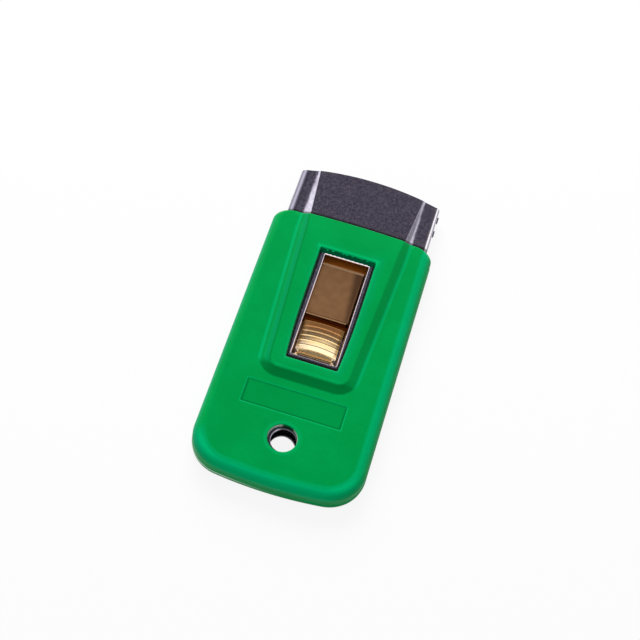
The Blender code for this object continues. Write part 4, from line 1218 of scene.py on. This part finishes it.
sleeve = make_sleeve()
case = make_case()
tongue = make_tongue()
pieces = [
    (sleeve, "case", "grip_sleeve", "sleeve_green"),
    (case, "case", "upper_case", "case_steel"),
    (make_floor(), "case", "lower_case", "case_steel"),
    (make_carriage(), "carriage", "blade_carriage", "brass"),
    (tongue, "tongue", "thumb_tongue", "brass"),
]
for piece, body, node, slot in pieces:
    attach(piece, body)
    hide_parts(node)
for node, look in (
    ("blade", razor_look),
    ("blade_back", steel_look),
    ("tongue_rivet_left", brass_look),
    ("tongue_rivet_right", brass_look),
):
    nodes[node].data.materials.clear()
    nodes[node].data.materials.append(look)


# Floor, light and camera
def pale_floor():
    """White to the camera, pale to the light, so that it keeps the object's shadow."""
    pale = Recipe("pale_floor")
    shade = pale.node("ShaderNodeBsdfDiffuse", inputs={"Color": (0.96, 0.96, 0.96)})
    seen = pale.node("ShaderNodeEmission", inputs={"Color": (1, 1, 1), "Strength": 1.0})
    look = pale.ray("Camera").above(pale.ray("Transmission"))
    share = (look * 0.88).above(pale.ray("Glossy") * 0.40)
    both = pale.node("ShaderNodeMixShader", inputs={0: share, 1: shade, 2: seen})
    pale.feed(pale.tree.nodes["Material Output"].inputs["Surface"], both)
    return pale.owner


def studio_world():
    """Soft white room, brightest ahead on the left and overhead, with one dark card high ahead."""
    world = bpy.data.worlds.new("studio")
    bpy.context.scene.world = world
    room = Recipe("studio", world)
    x, y, z = room.parts(room.node("ShaderNodeTexCoord", out="Generated"))
    side = x.ramp(-0.51, -0.31) * x.ramp(0.42, 0.28)
    card = side * z.ramp(0.46, 0.60) * z.ramp(0.965, 0.900) * y.ramp(0.10, 0.25)
    bright = (z.ramp(0.90, 0.97) * 0.45).above(band(x, -0.66, -0.54, 0.10) * 0.35)
    dim = (x.ramp(-0.66, -0.84) * 0.55).above(x.ramp(0.80, 0.95) * 0.4)
    mirrored = (1.0 + bright) * (1 - card * 0.94) * (1 - dim)
    soft = (0.42 + (y * 0.02 - x * 0.10)).above(0.08)
    glossy = room.ray("Glossy").above(room.ray("Transmission"))
    level = soft + (mirrored - soft) * glossy
    back = room.tree.nodes["Background"]
    room.feed(back.inputs["Color"], room.mix(card * glossy, (1, 1, 1), (1.0, 0.86, 1.14)))
    room.feed(back.inputs["Strength"], level + (1 - level) * room.ray("Camera"))


mesh = bpy.data.meshes.new("floor")
corners = [(x * FLOOR_HALF, y * FLOOR_HALF, FLOOR_Z) for x, y in ((-1, -1), (1, -1), (1, 1), (-1, 1))]
mesh.from_pydata(corners, [], [[0, 1, 2, 3]])
mesh.materials.append(pale_floor())
put("floor", mesh)
studio_world()

key = bpy.data.lights.new("key_light", "AREA")
key.shape = "RECTANGLE"
key.size, key.size_y = KEY_SIZE
key.energy = KEY_POWER
key_light = put("key_light", key)
key_light.location = KEY_SPOT
key_light.rotation_euler = (-Vector(KEY_SPOT)).to_track_quat("-Z", "Y").to_euler()
key_light.visible_glossy = False

camera_data = bpy.data.cameras.new("camera")
camera_data.lens = CAMERA_LENS
camera_data.sensor_width = 36.0
camera_data.clip_start = 0.01
camera = put("camera", camera_data)
bpy.context.scene.camera = camera
place = Matrix.Translation(CAMERA_SPOT)
for angle, axis in ((CAMERA_TURN, "Z"), (math.pi / 2 - CAMERA_TILT, "X"), (CAMERA_ROLL, "Z")):
    place = place @ Matrix.Rotation(angle, 4, axis)
camera.matrix_world = place
bpy.context.scene.view_settings.view_transform = "Standard"
